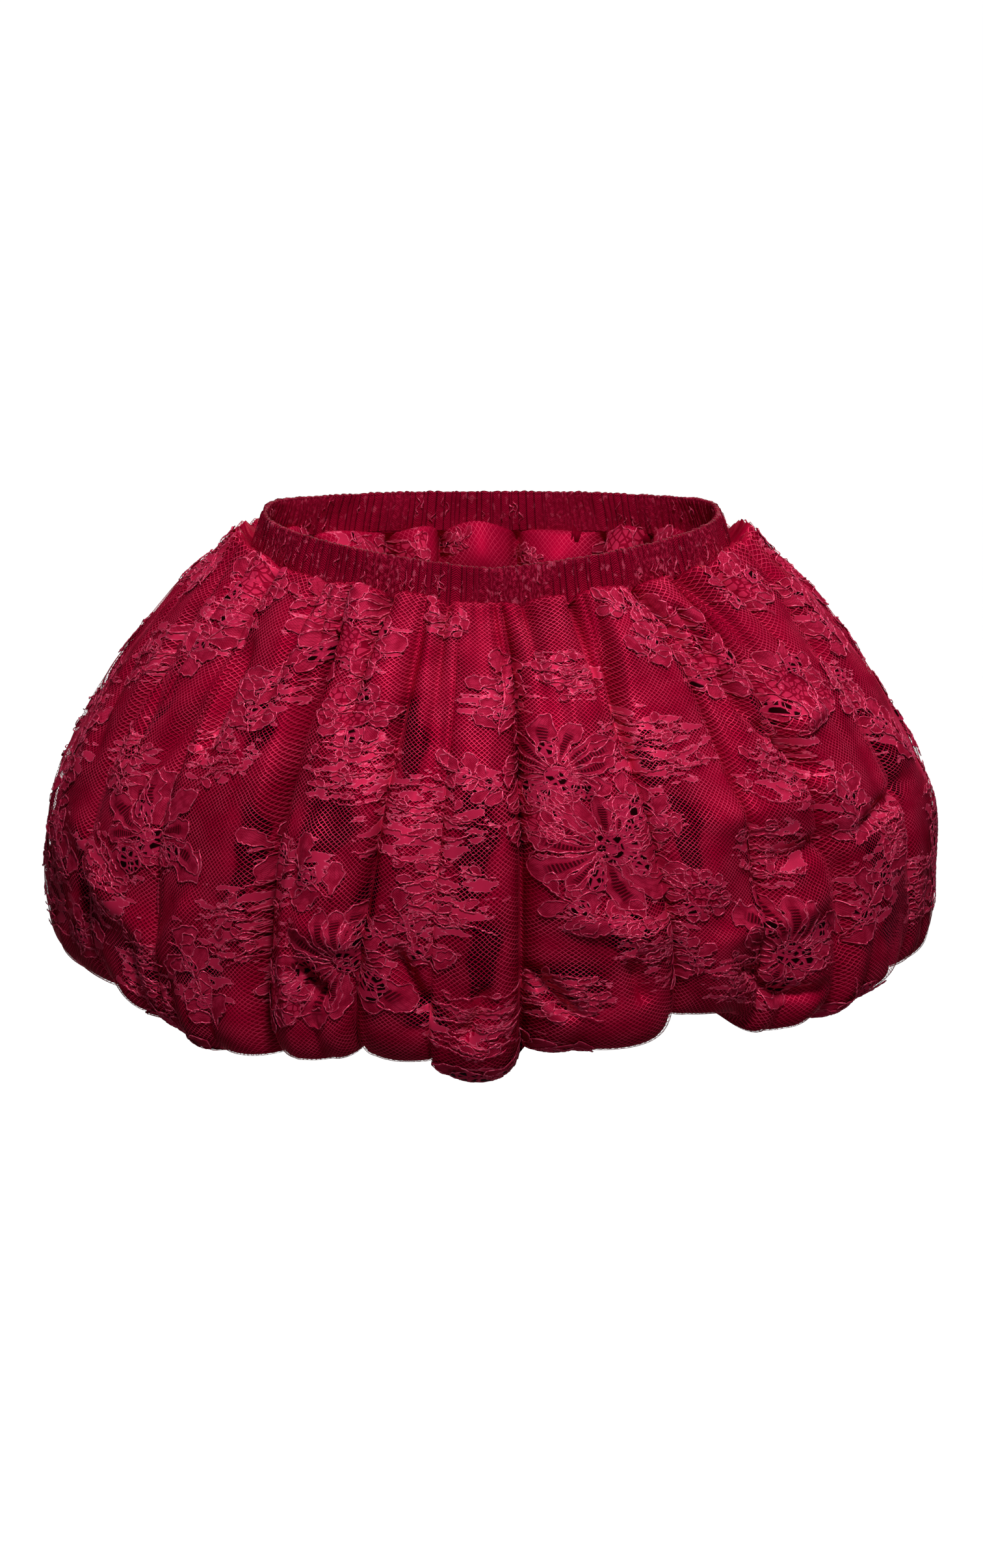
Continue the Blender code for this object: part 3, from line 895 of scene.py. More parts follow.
# %% Grounds
OUTER_GROUNDS = [
    Ground(
        half["name"], "shell_" + half["name"], "shell_lace", partial(body_points, half), 1.0,
        girth_at, partial(fold_weave, half), HALF_CLOTH_WIDTH, CLOTH_LENGTH,
    )
    for half in HALVES
]
LINING_GROUNDS = [
    Ground(
        name, "lining_" + name, "lining_lace", partial(lining_points, name), -1.0,
        true_width, lining_weave, LINING_WIDTH, LINING_LENGTH,
    )
    for name in FIRST_ANGLE
]
BAND_GROUND = Ground(
    "waistband", "waistband", "waistband_lace", band_points, 1.0,
    true_width, band_weave, BAND_ROUND, 2.0 * BAND_HEIGHT + BAND_WALL,
)
print("grounds:", [ground.node for ground in (*OUTER_GROUNDS, *LINING_GROUNDS, BAND_GROUND)])

# %% [markdown]
# ## Writing a material as code
# A material is a graph of nodes and links. Written out call by call it is long and hard to read, so
# a small class gives the calls short names. A value can then be a number, or another node's output.

# %% Graph helper


class Graph:
    """Short names for the node tree calls that the materials repeat."""

    def __init__(self, tree):
        self.tree = tree

    def add(self, kind, **settings):
        node = self.tree.nodes.new(kind)
        for name, value in settings.items():
            setattr(node, name, value)
        return node

    def feed(self, socket, value):
        if isinstance(value, bpy.types.NodeSocket):
            self.tree.links.new(value, socket)
        elif value is not None:
            socket.default_value = value

    def math(self, operation, a, b=None, c=None):
        node = self.add("ShaderNodeMath", operation=operation)
        for socket, value in zip(node.inputs, (a, b, c)):
            self.feed(socket, value)
        return node.outputs[0]

    def times(self, a, b):
        return self.math("MULTIPLY", a, b)

    def split(self, vector):
        node = self.add("ShaderNodeSeparateXYZ")
        self.feed(node.inputs[0], vector)
        return node.outputs

    def blend(self, share, a, b):
        node = self.add("ShaderNodeMix", data_type="RGBA")
        self.feed(node.inputs["Factor"], share)
        self.feed(node.inputs[6], a)
        self.feed(node.inputs[7], b)
        return node.outputs[2]

    def ramp(self, value, low, high, start=0.0, end=1.0):
        node = self.add("ShaderNodeMapRange", interpolation_type="SMOOTHSTEP")
        for name, number in zip(("From Min", "From Max", "To Min", "To Max"), (low, high, start, end)):
            node.inputs[name].default_value = number
        self.feed(node.inputs["Value"], value)
        return node.outputs["Result"]

    def noise(self, vector, scale, detail=2.0):
        node = self.add("ShaderNodeTexNoise")
        self.feed(node.inputs["Vector"], vector)
        self.feed(node.inputs["Scale"], scale)
        node.inputs["Detail"].default_value = detail
        return node.outputs["Fac"]

    def map(self, name):
        return self.add("ShaderNodeUVMap", uv_map=name).outputs["UV"]

    def group(self, tree, **values):
        node = self.add("ShaderNodeGroup")
        node.node_tree = tree
        for name, value in values.items():
            self.feed(node.inputs[name], value)
        return node


def group_tree(name, inputs, outputs):
    """An empty node group with named sockets, and its graph, input and output nodes."""
    tree = bpy.data.node_groups.new(name, "ShaderNodeTree")
    for title, kind, value in inputs:
        socket = tree.interface.new_socket(title, in_out="INPUT", socket_type="NodeSocket" + kind)
        if value is not None:
            socket.default_value = value
    for title, kind in outputs:
        tree.interface.new_socket(title, in_out="OUTPUT", socket_type="NodeSocket" + kind)
    graph = Graph(tree)
    return tree, graph, graph.add("NodeGroupInput").outputs, graph.add("NodeGroupOutput").inputs


print("graph calls:", [name for name in vars(Graph) if not name.startswith("_")])

# %% [markdown]
# ## The weave's pattern
# Two sets of crossing threads at 45 degrees make the net. One node group draws them as a mask. The
# net cuts its holes with it, and the lining and the lace fill use it as colour. Drawing the weave
# from the cloth's own map keeps the mesh size right everywhere. A second group draws small worked
# sprays, and a third gives soft light and dark areas.

# %% Shader groups
NET_WANDER = 2.2 * MM  # how far the threads stray from their lines
DIAGONAL = 0.7071  # the share of a step across or down that counts along a slant at 45 degrees


def make_net_group():
    """A mask of crossing threads; Pitch and Thread are in metres."""
    sockets = [("Place", "Vector", None), ("Pitch", "Float", None), ("Thread", "Float", None)]
    tree, graph, given, out = group_tree("net threads", sockets, [("Threads", "Float")])
    wander = graph.noise(given["Place"], 90.0)
    split = graph.split(given["Place"])
    shift = graph.times(graph.math("SUBTRACT", wander, 0.5), NET_WANDER)
    masks = []
    for sign in (1.0, -1.0):
        slant = graph.math("MULTIPLY_ADD", split["Y"], sign, split["X"])
        slant = graph.math("ADD", graph.times(slant, DIAGONAL), shift)
        off = graph.math("PINGPONG", slant, graph.times(given["Pitch"], 0.5))
        edge = graph.math("DIVIDE", off, graph.times(given["Thread"], 0.5))
        masks.append(graph.ramp(edge, 0.75, 1.25, 1.0, 0.0))
    graph.feed(out["Threads"], graph.math("MAXIMUM", *masks))
    return tree


def make_sprays_group():
    """Ragged worked patches with a bright outline, longer across the cloth than down it."""
    inputs = [("Place", "Vector", None), ("Density", "Float", 0.5)]
    outputs = [("Fill", "Float"), ("Edge", "Float")]
    tree, graph, given, out = group_tree("lace sprays", inputs, outputs)
    squash = graph.add("ShaderNodeVectorMath", operation="MULTIPLY")
    graph.feed(squash.inputs[0], given["Place"])
    squash.inputs[1].default_value = (1.0, 2.3, 1.0)
    ragged = graph.noise(squash.outputs[0], 78.0, 5.0)
    dense = graph.ramp(given["Density"], 0.1, 0.75, -0.2, 0.06)
    level = graph.math("SUBTRACT", graph.math("ADD", ragged, dense), 0.57)
    graph.feed(out["Fill"], graph.ramp(level, -0.004, 0.004))
    off = graph.math("ABSOLUTE", level)
    graph.feed(out["Edge"], graph.ramp(off, 0.005, 0.015, 1.0, 0.0))
    return tree


def make_patches_group():
    """Soft light and dark areas, as dye and handling leave in cloth."""
    sockets = [("Place", "Vector", None), ("Size", "Float", 30.0)]
    tree, graph, given, out = group_tree("cloth patches", sockets, [("Value", "Float")])
    noise = graph.noise(given["Place"], given["Size"], 3.0)
    graph.feed(out["Value"], graph.ramp(noise, 0.3, 0.7))
    return tree


NET_THREADS = make_net_group()
LACE_SPRAYS = make_sprays_group()
CLOTH_PATCHES = make_patches_group()
print("shader groups:", [tree.name for tree in bpy.data.node_groups])

# %% [markdown]
# ## Colours
# All the cloth is dyed one crimson, and what differs is how each yarn throws the light back. So the
# materials share one shader setting and differ in a few colours, their roughness and their shine. Some
# colours are painted light: the paler threads and cords carry painted sheen and glints, and the lining
# and the band's inside are painted paler.

# %% Colours and the cloth shader
SATIN_COLOUR = (0.220, 0.0002, 0.0135, 1.0)
SATIN_LIGHT = (0.430, 0.0008, 0.0310, 1.0)
# painted sheen: the net's threads are painted paler than the satin for the shine of a round yarn
THREAD_COLOUR = (0.60, 0.0060, 0.055, 1.0)
THREAD_LIGHT = (0.90, 0.040, 0.130, 1.0)
FILL_COLOUR = (0.68, 0.022, 0.088, 1.0)
FILL_DARK = (0.33, 0.0020, 0.024, 1.0)
# painted glints: the cord's bright colour stands partly for its shine
CORD_COLOUR = (1.0, 0.125, 0.25, 1.0)
CORD_DARK = (0.60, 0.018, 0.080, 1.0)
# painted light: the lining's paler ground colour
LINING_LIGHT = (0.46, 0.0020, 0.036, 1.0)
# painted shade: the near-black used for the satin where it hangs back, the petals' slits, the open
# grounds' holes and the band's valleys and top roll
SHADE_COLOUR = (0.012, 0.0002, 0.001, 1.0)
BAND_DARK = (0.195, 0.0004, 0.0125, 1.0)
SPECULAR_TINT = (1.0, 0.07, 0.15, 1.0)
NET_PITCH, NET_THREAD = 1.9 * MM, 0.31 * MM
FILL_PITCH, FILL_THREAD = 0.85 * MM, 0.4 * MM
CHEVRON_PITCH, CHEVRON_RISE = 1.3 * MM, 4.6 * MM
RUCHE_WIDTH, ROLL_SHADE_WIDTH = 3.5 * MM, 2.8 * MM


def cloth_material(name, rough, specular, metal):
    """A material with the constants that all the cloths share, its graph and its shader."""
    material = bpy.data.materials.new(name)
    material.use_nodes = True
    shader = material.node_tree.nodes["Principled BSDF"]
    constants = {
        "Roughness": rough,
        "Specular IOR Level": specular,
        "Specular Tint": SPECULAR_TINT,
        "Metallic": metal,
    }
    for title, value in constants.items():
        shader.inputs[title].default_value = value
    return material, Graph(material.node_tree), shader.inputs


def threads_of(graph, place, pitch, thread):
    """The mask of the net's threads, with their spacing and thickness in metres."""
    return graph.group(NET_THREADS, Place=place, Pitch=pitch, Thread=thread).outputs["Threads"]


def patches_of(graph, place, size):
    """Soft light and dark areas; a larger size gives smaller areas."""
    return graph.group(CLOTH_PATCHES, Place=place, Size=size).outputs["Value"]


def bump_into(graph, sockets, height, strength, distance):
    """A small relief, drawn in the shading only."""
    node = graph.add("ShaderNodeBump")
    node.inputs["Strength"].default_value = strength
    node.inputs["Distance"].default_value = distance
    graph.feed(node.inputs["Height"], height)
    graph.feed(sockets["Normal"], node.outputs["Normal"])


print("threads every", NET_PITCH / MM, "mm in the net")

# %% [markdown]
# ## Satin, net and lining looks
# Satin is smooth and shines softly. The net's threads are painted paler than the satin, as painted
# sheen, because each is a round, shiny yarn. The lining is the same two cloths lying close, so one
# material draws both, with its ground painted paler as painted light.

# %% Satin, net and lining materials


def satin_material():
    """Satin with painted shade in its colour where it falls back behind the net, out of the light."""
    material, graph, sockets = cloth_material("satin", 0.55, specular=0.05, metal=0.12)
    place = graph.map("cloth")
    patches = patches_of(graph, place, 24.0)
    fall = graph.split(graph.map("fall"))["X"]
    colour = graph.blend(patches, SATIN_COLOUR, SATIN_LIGHT)
    # painted shade: where the fall map is high, the satin's colour is blended to the near-black shade
    # colour
    colour = graph.blend(graph.ramp(fall, 0.4, 0.75, 0.0, 0.93), colour, SHADE_COLOUR)
    graph.feed(sockets["Base Color"], colour)
    graph.feed(sockets["Roughness"], graph.ramp(patches, 0.0, 1.0, 0.48, 0.6))
    bump_into(graph, sockets, graph.noise(place, 700.0), 0.25, 0.0004)
    return material


def worked_net(graph, place):
    """The colour of the net's threads and of the small lace sprays in it, and a mask of both."""
    threads = threads_of(graph, place, NET_PITCH, NET_THREAD)
    near = graph.split(graph.map("lace"))["X"]
    sprays = graph.group(LACE_SPRAYS, Place=place, Density=near).outputs
    patches = patches_of(graph, place, 55.0)
    colour = graph.blend(patches, THREAD_COLOUR, THREAD_LIGHT)
    colour = graph.blend(sprays["Fill"], colour, FILL_COLOUR)
    colour = graph.blend(sprays["Edge"], colour, CORD_COLOUR)
    worked = graph.math("MAXIMUM", sprays["Fill"], sprays["Edge"])
    return colour, graph.math("MAXIMUM", threads, worked)


def net_material():
    """The net is a mask of threads; seen edge on, the threads close up."""
    material, graph, sockets = cloth_material("net", 0.45, specular=0.05, metal=0.15)
    colour, threads = worked_net(graph, graph.map("cloth"))
    facing = graph.add("ShaderNodeLayerWeight").outputs["Facing"]
    graph.feed(sockets["Base Color"], colour)
    graph.feed(sockets["Alpha"], graph.math("MAXIMUM", threads, graph.ramp(facing, 0.74, 0.9)))
    return material


def lined_material():
    """Satin with the net lying flat on it, for the inside, with its ground painted paler than the outer
    satin as painted light.
    """
    material, graph, sockets = cloth_material("net on satin", 0.45, specular=0.05, metal=0.15)
    place = graph.map("cloth")
    colour, threads = worked_net(graph, place)
    patches = patches_of(graph, place, 24.0)
    # painted light: the lining's ground runs from SATIN_LIGHT to LINING_LIGHT, paler than the outer
    # satin
    ground = graph.blend(patches, SATIN_LIGHT, LINING_LIGHT)
    graph.feed(sockets["Base Color"], graph.blend(threads, ground, colour))
    bump_into(graph, sockets, threads, 0.6, 0.0004)
    return material


SATIN_LOOK = satin_material()
NET_LOOK = net_material()
LINED_LOOK = lined_material()
print("materials:", [look.name for look in (SATIN_LOOK, NET_LOOK, LINED_LOOK)])

# %% [markdown]
# ## Lace looks
# The close-worked fill is matt and rosy. Crackle grounds are small rounded cells, and open grounds are
# wider holes with threads between them, drawn as painted shade rather than cut. The corded outline is a
# brighter, nearly metallic twist, with painted glints.

# %% Lace materials


def fill_material():
    """Close-worked, ribbed lace. An opened petal has a ladder of threads down its middle, with painted
    shade over its slit and near-black painted shade between the rungs.
    """
    material, graph, sockets = cloth_material("lace fill", 0.6, specular=0.05, metal=0.1)
    place = graph.map("cloth")
    petal = graph.split(graph.map("petal"))
    across, along = graph.math("ABSOLUTE", petal["X"]), petal["Y"]
    slit = graph.times(graph.ramp(across, 0.3, 0.5, 1.0, 0.0), graph.ramp(along, 0.1, 0.25))
    slit = graph.times(slit, graph.ramp(along, 0.66, 0.84, 1.0, 0.0))
    ribs = graph.ramp(graph.math("PINGPONG", across, 0.22), 0.0, 0.09, 0.5, 0.0)
    rungs = graph.math("PINGPONG", graph.times(along, 34.0), 1.0)
    ladder = graph.times(slit, graph.ramp(rungs, 0.45, 0.75, 1.0, 0.0))
    threads = threads_of(graph, place, FILL_PITCH, FILL_THREAD)
    patches = patches_of(graph, place, 160.0)
    ground = graph.blend(graph.ramp(patches, 0.0, 1.0, 0.25, 1.0), FILL_DARK, FILL_COLOUR)
    ground = graph.blend(graph.ramp(threads, 0.0, 1.0, 0.35, 0.0), ground, FILL_DARK)
    # painted shade: the slit down an opened petal is darkened, as if the satin in shade showed through
    darker = graph.math("MAXIMUM", ribs, graph.times(slit, 0.55))
    ground = graph.blend(darker, ground, FILL_DARK)
    # painted shade: the gaps between the ladder's rungs are drawn near-black
    colour = graph.blend(graph.times(ladder, 0.8), ground, SHADE_COLOUR)
    graph.feed(sockets["Base Color"], colour)
    bump_into(graph, sockets, graph.math("SUBTRACT", threads, slit), 0.7, 0.0004)
    return material


def cell_material(name, size, line, bright, ground_line):
    """A worked ground of cells, with the size of a cell and its edge line as a share of it."""
    material, graph, sockets = cloth_material(name, 0.5, specular=0.05, metal=0.1)
    place = graph.map("cloth")
    cells = graph.add("ShaderNodeTexVoronoi", feature="DISTANCE_TO_EDGE")
    graph.feed(cells.inputs["Vector"], place)
    cells.inputs["Scale"].default_value = 1.0 / size
    cells.inputs["Randomness"].default_value = 0.85
    inside = graph.ramp(cells.outputs["Distance"], line * 0.7, line * 1.3)
    # for the open ground, bright is the near-black painted shade inside the holes
    graph.feed(sockets["Base Color"], graph.blend(inside, ground_line, bright))
    bump_into(graph, sockets, inside, 0.7, 0.0005)
    return material


def cord_material():
    """A shiny twisted yarn, with painted glints in dashes along its twist that are dimmer in random
    patches.
    """
    material, graph, sockets = cloth_material("cord", 0.35, specular=0.2, metal=0.2)
    place = graph.map("cloth")
    twist = graph.noise(place, 900.0, 1.0)
    glint_dimming = patches_of(graph, place, 220.0)
    # painted glints: the base colour brightens in dashes where the twist noise is high, dimmed in random
    # patches
    bright = graph.times(graph.ramp(twist, 0.38, 0.54), graph.ramp(glint_dimming, 0.2, 0.75, 0.2, 1.0))
    graph.feed(sockets["Base Color"], graph.blend(bright, CORD_DARK, CORD_COLOUR))
    graph.feed(sockets["Roughness"], graph.ramp(twist, 0.3, 0.7, 0.45, 0.22))
    return material


FILL_LOOK = fill_material()
CRACKLE_LOOK = cell_material("crackle ground", 3.4 * MM, 0.09, FILL_COLOUR, FILL_DARK)
# painted shade: the open ground's holes are filled with the near-black shade colour, not cut through
OPEN_LOOK = cell_material("open ground", 4.8 * MM, 0.14, SHADE_COLOUR, CORD_DARK)
CORD_LOOK = cord_material()
print("materials:", [look.name for look in (FILL_LOOK, CRACKLE_LOOK, OPEN_LOOK, CORD_LOOK)])

# %% [markdown]
# ## The band's look
# In each channel the gathered net crosses itself as fine chevrons, and the valleys between channels are
# darkened with painted shade. The top roll has painted shade too, and the inside face is painted paler
# as painted light. In places a motif was caught in the fold, which shows as flecks of fill and cord.

# %% Band material


def band_material():
    """Net drawn up tight: chevrons of thread in narrow channels, with worked lace in places."""
    material, graph, sockets = cloth_material("ruched band", 0.5, specular=0.15, metal=0.15)
    split = graph.split(graph.map("cloth"))
    channel, down = split["X"], split["Y"]
    valley = graph.math("PINGPONG", channel, 0.5)
    slope = graph.math("MULTIPLY_ADD", valley, CHEVRON_RISE, down)
    stripe = graph.math("PINGPONG", slope, 0.5 * CHEVRON_PITCH)
    thread = graph.ramp(stripe, 0.12 * CHEVRON_PITCH, 0.3 * CHEVRON_PITCH, 1.0, 0.0)
    round_body = graph.add("ShaderNodeCombineXYZ")
    graph.feed(round_body.inputs["X"], graph.times(channel, RUCHE_WIDTH))
    graph.feed(round_body.inputs["Y"], graph.times(down, 0.45))
    place = round_body.outputs[0]
    worked = graph.ramp(graph.noise(place, 26.0, 1.0), 0.46, 0.54)
    flecks = graph.ramp(graph.noise(place, 900.0, 3.0), 0.42, 0.66)
    cords = graph.ramp(graph.noise(place, 380.0, 3.0), 0.6, 0.66, 0.0, 0.55)
    chevrons = graph.blend(thread, BAND_DARK, THREAD_COLOUR)
    lace = graph.blend(flecks, BAND_DARK, FILL_COLOUR)
    colour = graph.blend(graph.times(worked, 0.7), chevrons, lace)
    colour = graph.blend(cords, colour, CORD_COLOUR)
    # painted shade: the top roll is darkened towards the shade colour
    from_top = graph.math("ABSOLUTE", graph.math("SUBTRACT", down, BAND_HEIGHT + BAND_WALL / 2.0))
    colour = graph.blend(graph.ramp(from_top, 0.0, ROLL_SHADE_WIDTH, 0.35, 0.0), colour, SHADE_COLOUR)
    # painted light: the inside face is blended towards the paler thread colour
    inside = graph.ramp(down, BAND_HEIGHT - 2.0 * MM, BAND_HEIGHT, 0.4, 0.0)
    colour = graph.blend(inside, colour, THREAD_COLOUR)
    # painted shade: the valleys between ruches are darkened, less where lace is worked
    ruche_valley_shade = graph.ramp(valley, 0.0, 0.16, 0.7, 0.0)
    shade = graph.times(ruche_valley_shade, graph.ramp(worked, 0.0, 1.0, 1.0, 0.35))
    graph.feed(sockets["Base Color"], graph.blend(shade, colour, SHADE_COLOUR))
    bump_into(graph, sockets, graph.math("ADD", thread, flecks), 0.5, 0.0005)
    return material


BAND_LOOK = band_material()
print(len(bpy.data.materials), "materials")

# %% [markdown]
# ## Satin, net, lining and band
# The outer cloth is two layers gathered as one: an opaque satin that gives the colour and the
# shine, and the open net just in front of it. Making both as real surfaces lets the net throw its
# small shadows on the satin, and lets light come through it where it stands away at the sides.
# The lining's halves are single sheets with the net drawn on, and the band is one sheet rolled over
# its top edge.

# %% Sheets
SATIN_COLUMNS, SATIN_ROWS = 20, 105  # the columns are counted in each fold
NET_COLUMNS, NET_ROWS = 32, 145
LINING_COLUMNS, LINING_ROWS, ROWS_CROWDING = 211, 60, 1.5
RUCHE_COLUMNS, BAND_FACE_ROWS, BAND_ROLL_ROWS = 6, 8, 6

SHEETS = {}
for half, ground in zip(HALVES, OUTER_GROUNDS):
    rows = np.linspace(0.0, CLOTH_LENGTH, SATIN_ROWS)
    columns = fold_columns(half, SATIN_COLUMNS)
    surface = partial(body_points, half, layer=SATIN)
    satin = sheet_piece(ground, "satin_" + ground.name, surface, columns, rows, SATIN_LOOK)
    flat = NETTED[ground.node][1]
    # the fall map says where the satin's colour gets painted shade
    fall = slack_depth(half, flat[..., 0], flat[..., 1]) / FULL_FALL
    set_map(satin, "fall", np.stack([fall, fall], -1))
    rows = np.linspace(0.0, CLOTH_LENGTH, NET_ROWS)
    columns = fold_columns(half, NET_COLUMNS)
    net = sheet_piece(ground, "net_" + ground.name, ground.surface, columns, rows, NET_LOOK)
    SHEETS[ground.node] = [satin, net]

for ground in LINING_GROUNDS:
    columns = np.linspace(0.0, LINING_WIDTH, LINING_COLUMNS)
    rows = LINING_LENGTH * np.linspace(0.0, 1.0, LINING_ROWS) ** ROWS_CROWDING
    lining = sheet_piece(ground, ground.node + "_cloth", ground.surface, columns, rows, LINED_LOOK)
    SHEETS[ground.node] = [lining]

band_rows = np.concatenate([
    np.linspace(0.0, BAND_HEIGHT, BAND_FACE_ROWS)[:-1],
    np.linspace(BAND_HEIGHT, BAND_TURN, BAND_ROLL_ROWS)[:-1],
    np.linspace(BAND_TURN, BAND_GROUND.length, BAND_FACE_ROWS),
])
band_columns = np.linspace(0.0, BAND_ROUND, RUCHES * RUCHE_COLUMNS + 1)
band = sheet_piece(BAND_GROUND, "waistband_cloth", band_points, band_columns, band_rows, BAND_LOOK)
SHEETS["waistband"] = [band]

# %% [markdown]
# ## Lace motifs
# Corded lace is a net with close-worked petals and leaves, each outlined with a thicker, shiny
# cord. A motif is drawn in millimetres on a flat plane as strips, rings and cord lines, then set on
# the cloth at a turn and a size. The strips and cords follow the folds through the cloth formula.

# %% Motif parts
STRIP_STEPS, RING_POINTS = 13, 41
STRIP_SIDES = np.linspace(-1.0, 1.0, 5)
RING_SHARES = (0.02, 0.35, 0.7, 1.0)  # the rings of faces that fill a round ground


def turned(points, angle):
    """Flat points turned about the origin."""
    c, s = math.cos(angle), math.sin(angle)
    return np.asarray(points, float) @ np.array([[c, s], [-s, c]])


def new_parts():
    """The parts of a motif: strips, whether each is opened, cord lines, and round grounds."""
    return {"strips": [], "opened": [], "cords": [], "crackle": [], "open": []}


def strip_round(middle, half_wide):
    """A strip of points about a middle line, and the outline that runs round it."""
    along = np.gradient(middle, axis=0)
    along /= np.maximum(np.linalg.norm(along, axis=-1, keepdims=True), 1e-9)
    side = np.stack([along[:, 1], -along[:, 0]], -1)
    strip = middle[:, None] + side[:, None] * half_wide[:, None, None] * STRIP_SIDES[:, None]
    return strip, np.concatenate([strip[:, 0], strip[::-1, -1]])


def add_petal(parts, at, start, length, width, turn, fullness, rng, open_middle=False):
    """A petal or leaf. fullness is where along it the widest place lies, from 0 to 1."""
    t = np.linspace(0.0, 1.0, STRIP_STEPS)
    lean = rng.uniform(-0.5, 0.5) * t**1.5
    middle = np.stack([length * np.sin(lean) * t, start + length * np.cos(lean) * t], -1)
    rise = smooth_step(t / fullness) * 0.8 + 0.2
    fall = np.sqrt(np.clip(1.0 - (np.maximum(t - fullness, 0.0) / (1.0 - fullness)) ** 2.2, 0.0, 1.0))
    scallop = 1.0 + 0.17 * np.sin(t * rng.uniform(15.0, 24.0) + rng.uniform(0.0, 6.0)) * (t > 0.3)
    scallop = scallop + rng.uniform(-0.14, 0.14, STRIP_STEPS)
    half_wide = np.maximum(width / 2.0 * rise * fall * scallop, 0.12)
    strip, outline = strip_round(middle, half_wide)
    parts["strips"].append(turned(strip.reshape(-1, 2), turn).reshape(strip.shape) + at)
    parts["opened"].append(open_middle)
    parts["cords"].append(turned(outline, turn) + at)


def ring(centre, radius, rough, rng):
    """A closed, wavering, scalloped line round a centre."""
    t = np.linspace(0.0, 2.0 * math.pi, RING_POINTS)
    wave = np.zeros_like(t)
    for n in (2, 3, 4, 5):
        wave = wave + rough / n * rng.uniform(-1.0, 1.0) * np.sin(n * t + rng.uniform(0, 6.3))
    wave = wave + 0.12 * np.abs(np.sin(t * int(rng.integers(3, 6))))
    reach = radius * (1.0 + wave)
    stretch = rng.uniform(0.7, 1.0)
    line = np.stack([reach * np.cos(t), stretch * reach * np.sin(t)], -1)
    return np.asarray(centre) + turned(line, rng.uniform(0, 3))


def scroll(start, turn, length, rng):
    """A wandering cord with small loops and scallops along it."""
    t = np.linspace(0.0, 1.0, max(int(length * 1.6), 8))
    beat = rng.uniform(0.8, 1.4) * length
    y = 1.1 * np.abs(np.sin(t * beat * 0.9)) + 1.6 * np.sin(t * beat * 0.21 + rng.uniform(0, 6.3))
    x = length * t + 0.7 * np.sin(t * beat * 1.8)
    return turned(np.stack([x, y], -1), turn - math.pi / 2.0) + start


print("a strip is", STRIP_STEPS, "x", len(STRIP_SIDES), "points")

# %% [markdown]
# ## Kinds of motif
# The lace has four kinds: an open flower like a fan, a patch of crackle grounds with leaves round
# it, a branch of leaves, and rows of thin cord. Each is a short rule with random sizes, so that one
# rule gives many motifs and no two are quite alike.

# %% Motif kinds


def fan(rng, size):
    """An open flower: long petals over two thirds of a circle, small ones behind, worked centre."""
    parts = new_parts()
    count = int(rng.integers(10, 14))
    for n in range(count):
        turn = math.radians(-122.0 + 244.0 * n / (count - 1) + rng.uniform(-5.0, 5.0))
        length = rng.uniform(18.0, 29.0) * size
        width = length * 4.4 / count * rng.uniform(0.75, 1.25)
        fullness = rng.uniform(0.6, 0.86)
        add_petal(parts, (0.0, 0.0), 5.5 * size, length, width, turn, fullness, rng, rng.uniform() < 0.8)
    for n in range(6):
        turn = math.radians(180.0 + 22.0 * (n - 2.5) + rng.uniform(-9.0, 9.0))
        length = rng.uniform(8.0, 15.0) * size
        add_petal(parts, (0.0, 0.0), 6.0 * size, length, 7.0 * size, turn, 0.6, rng)
    parts["open"].append((np.array([0.0, -3.5]) * size, 7.5 * size, 0.16))
    for turn in (rng.uniform(1.9, 2.6), rng.uniform(-2.6, -1.9), rng.uniform(-1.0, 1.0)):
        reach = rng.uniform(13.0, 18.0) * size
        at = np.array([math.sin(turn), math.cos(turn)]) * reach
        parts["open"].append((at, rng.uniform(4.0, 6.5) * size, 0.3))
    for _ in range(5):
        centre = rng.uniform(-4.5, 4.5, 2) * size
        parts["cords"].append(ring(centre, rng.uniform(1.4, 2.6) * size, 0.2, rng))
    for side in (-1.0, 1.0):
        start = np.array([side * 5.0, -8.0]) * size
        parts["cords"].append(scroll(start, math.radians(side * 75.0 + 90.0), 26.0 * size, rng))
    return parts


def patch(rng, size):
    """Crackle grounds side by side, broad scalloped leaves round them and a few holes, which are drawn
    as painted shade.
    """
    parts = new_parts()
    for centre, radius in (((0, 0), 11.0), ((10, -10), 8.0), ((-9, 12), 7.5), ((6, 15), 6.0)):
        parts["crackle"].append((np.array(centre) * size, radius * size * rng.uniform(0.8, 1.15), 0.4))
    for centre, radius in (((-11, -7), 5.5), ((13, 5), 4.5)):
        parts["open"].append((np.array(centre) * size, radius * size, 0.25))
    for n in range(11):
        turn = math.radians(33.0 * n + rng.uniform(-14.0, 14.0))
        length, width = rng.uniform(9.0, 16.0) * size, rng.uniform(6.0, 9.5) * size
        start, fullness = rng.uniform(7.0, 13.0) * size, rng.uniform(0.45, 0.7)
        add_petal(parts, (0.0, 0.0), start, length, width, turn, fullness, rng)
    for n in range(4):
        start = rng.uniform(-15.0, 15.0, 2) * size
        parts["cords"].append(scroll(start, rng.uniform(0.0, 6.3), rng.uniform(12.0, 24.0) * size, rng))
    return parts


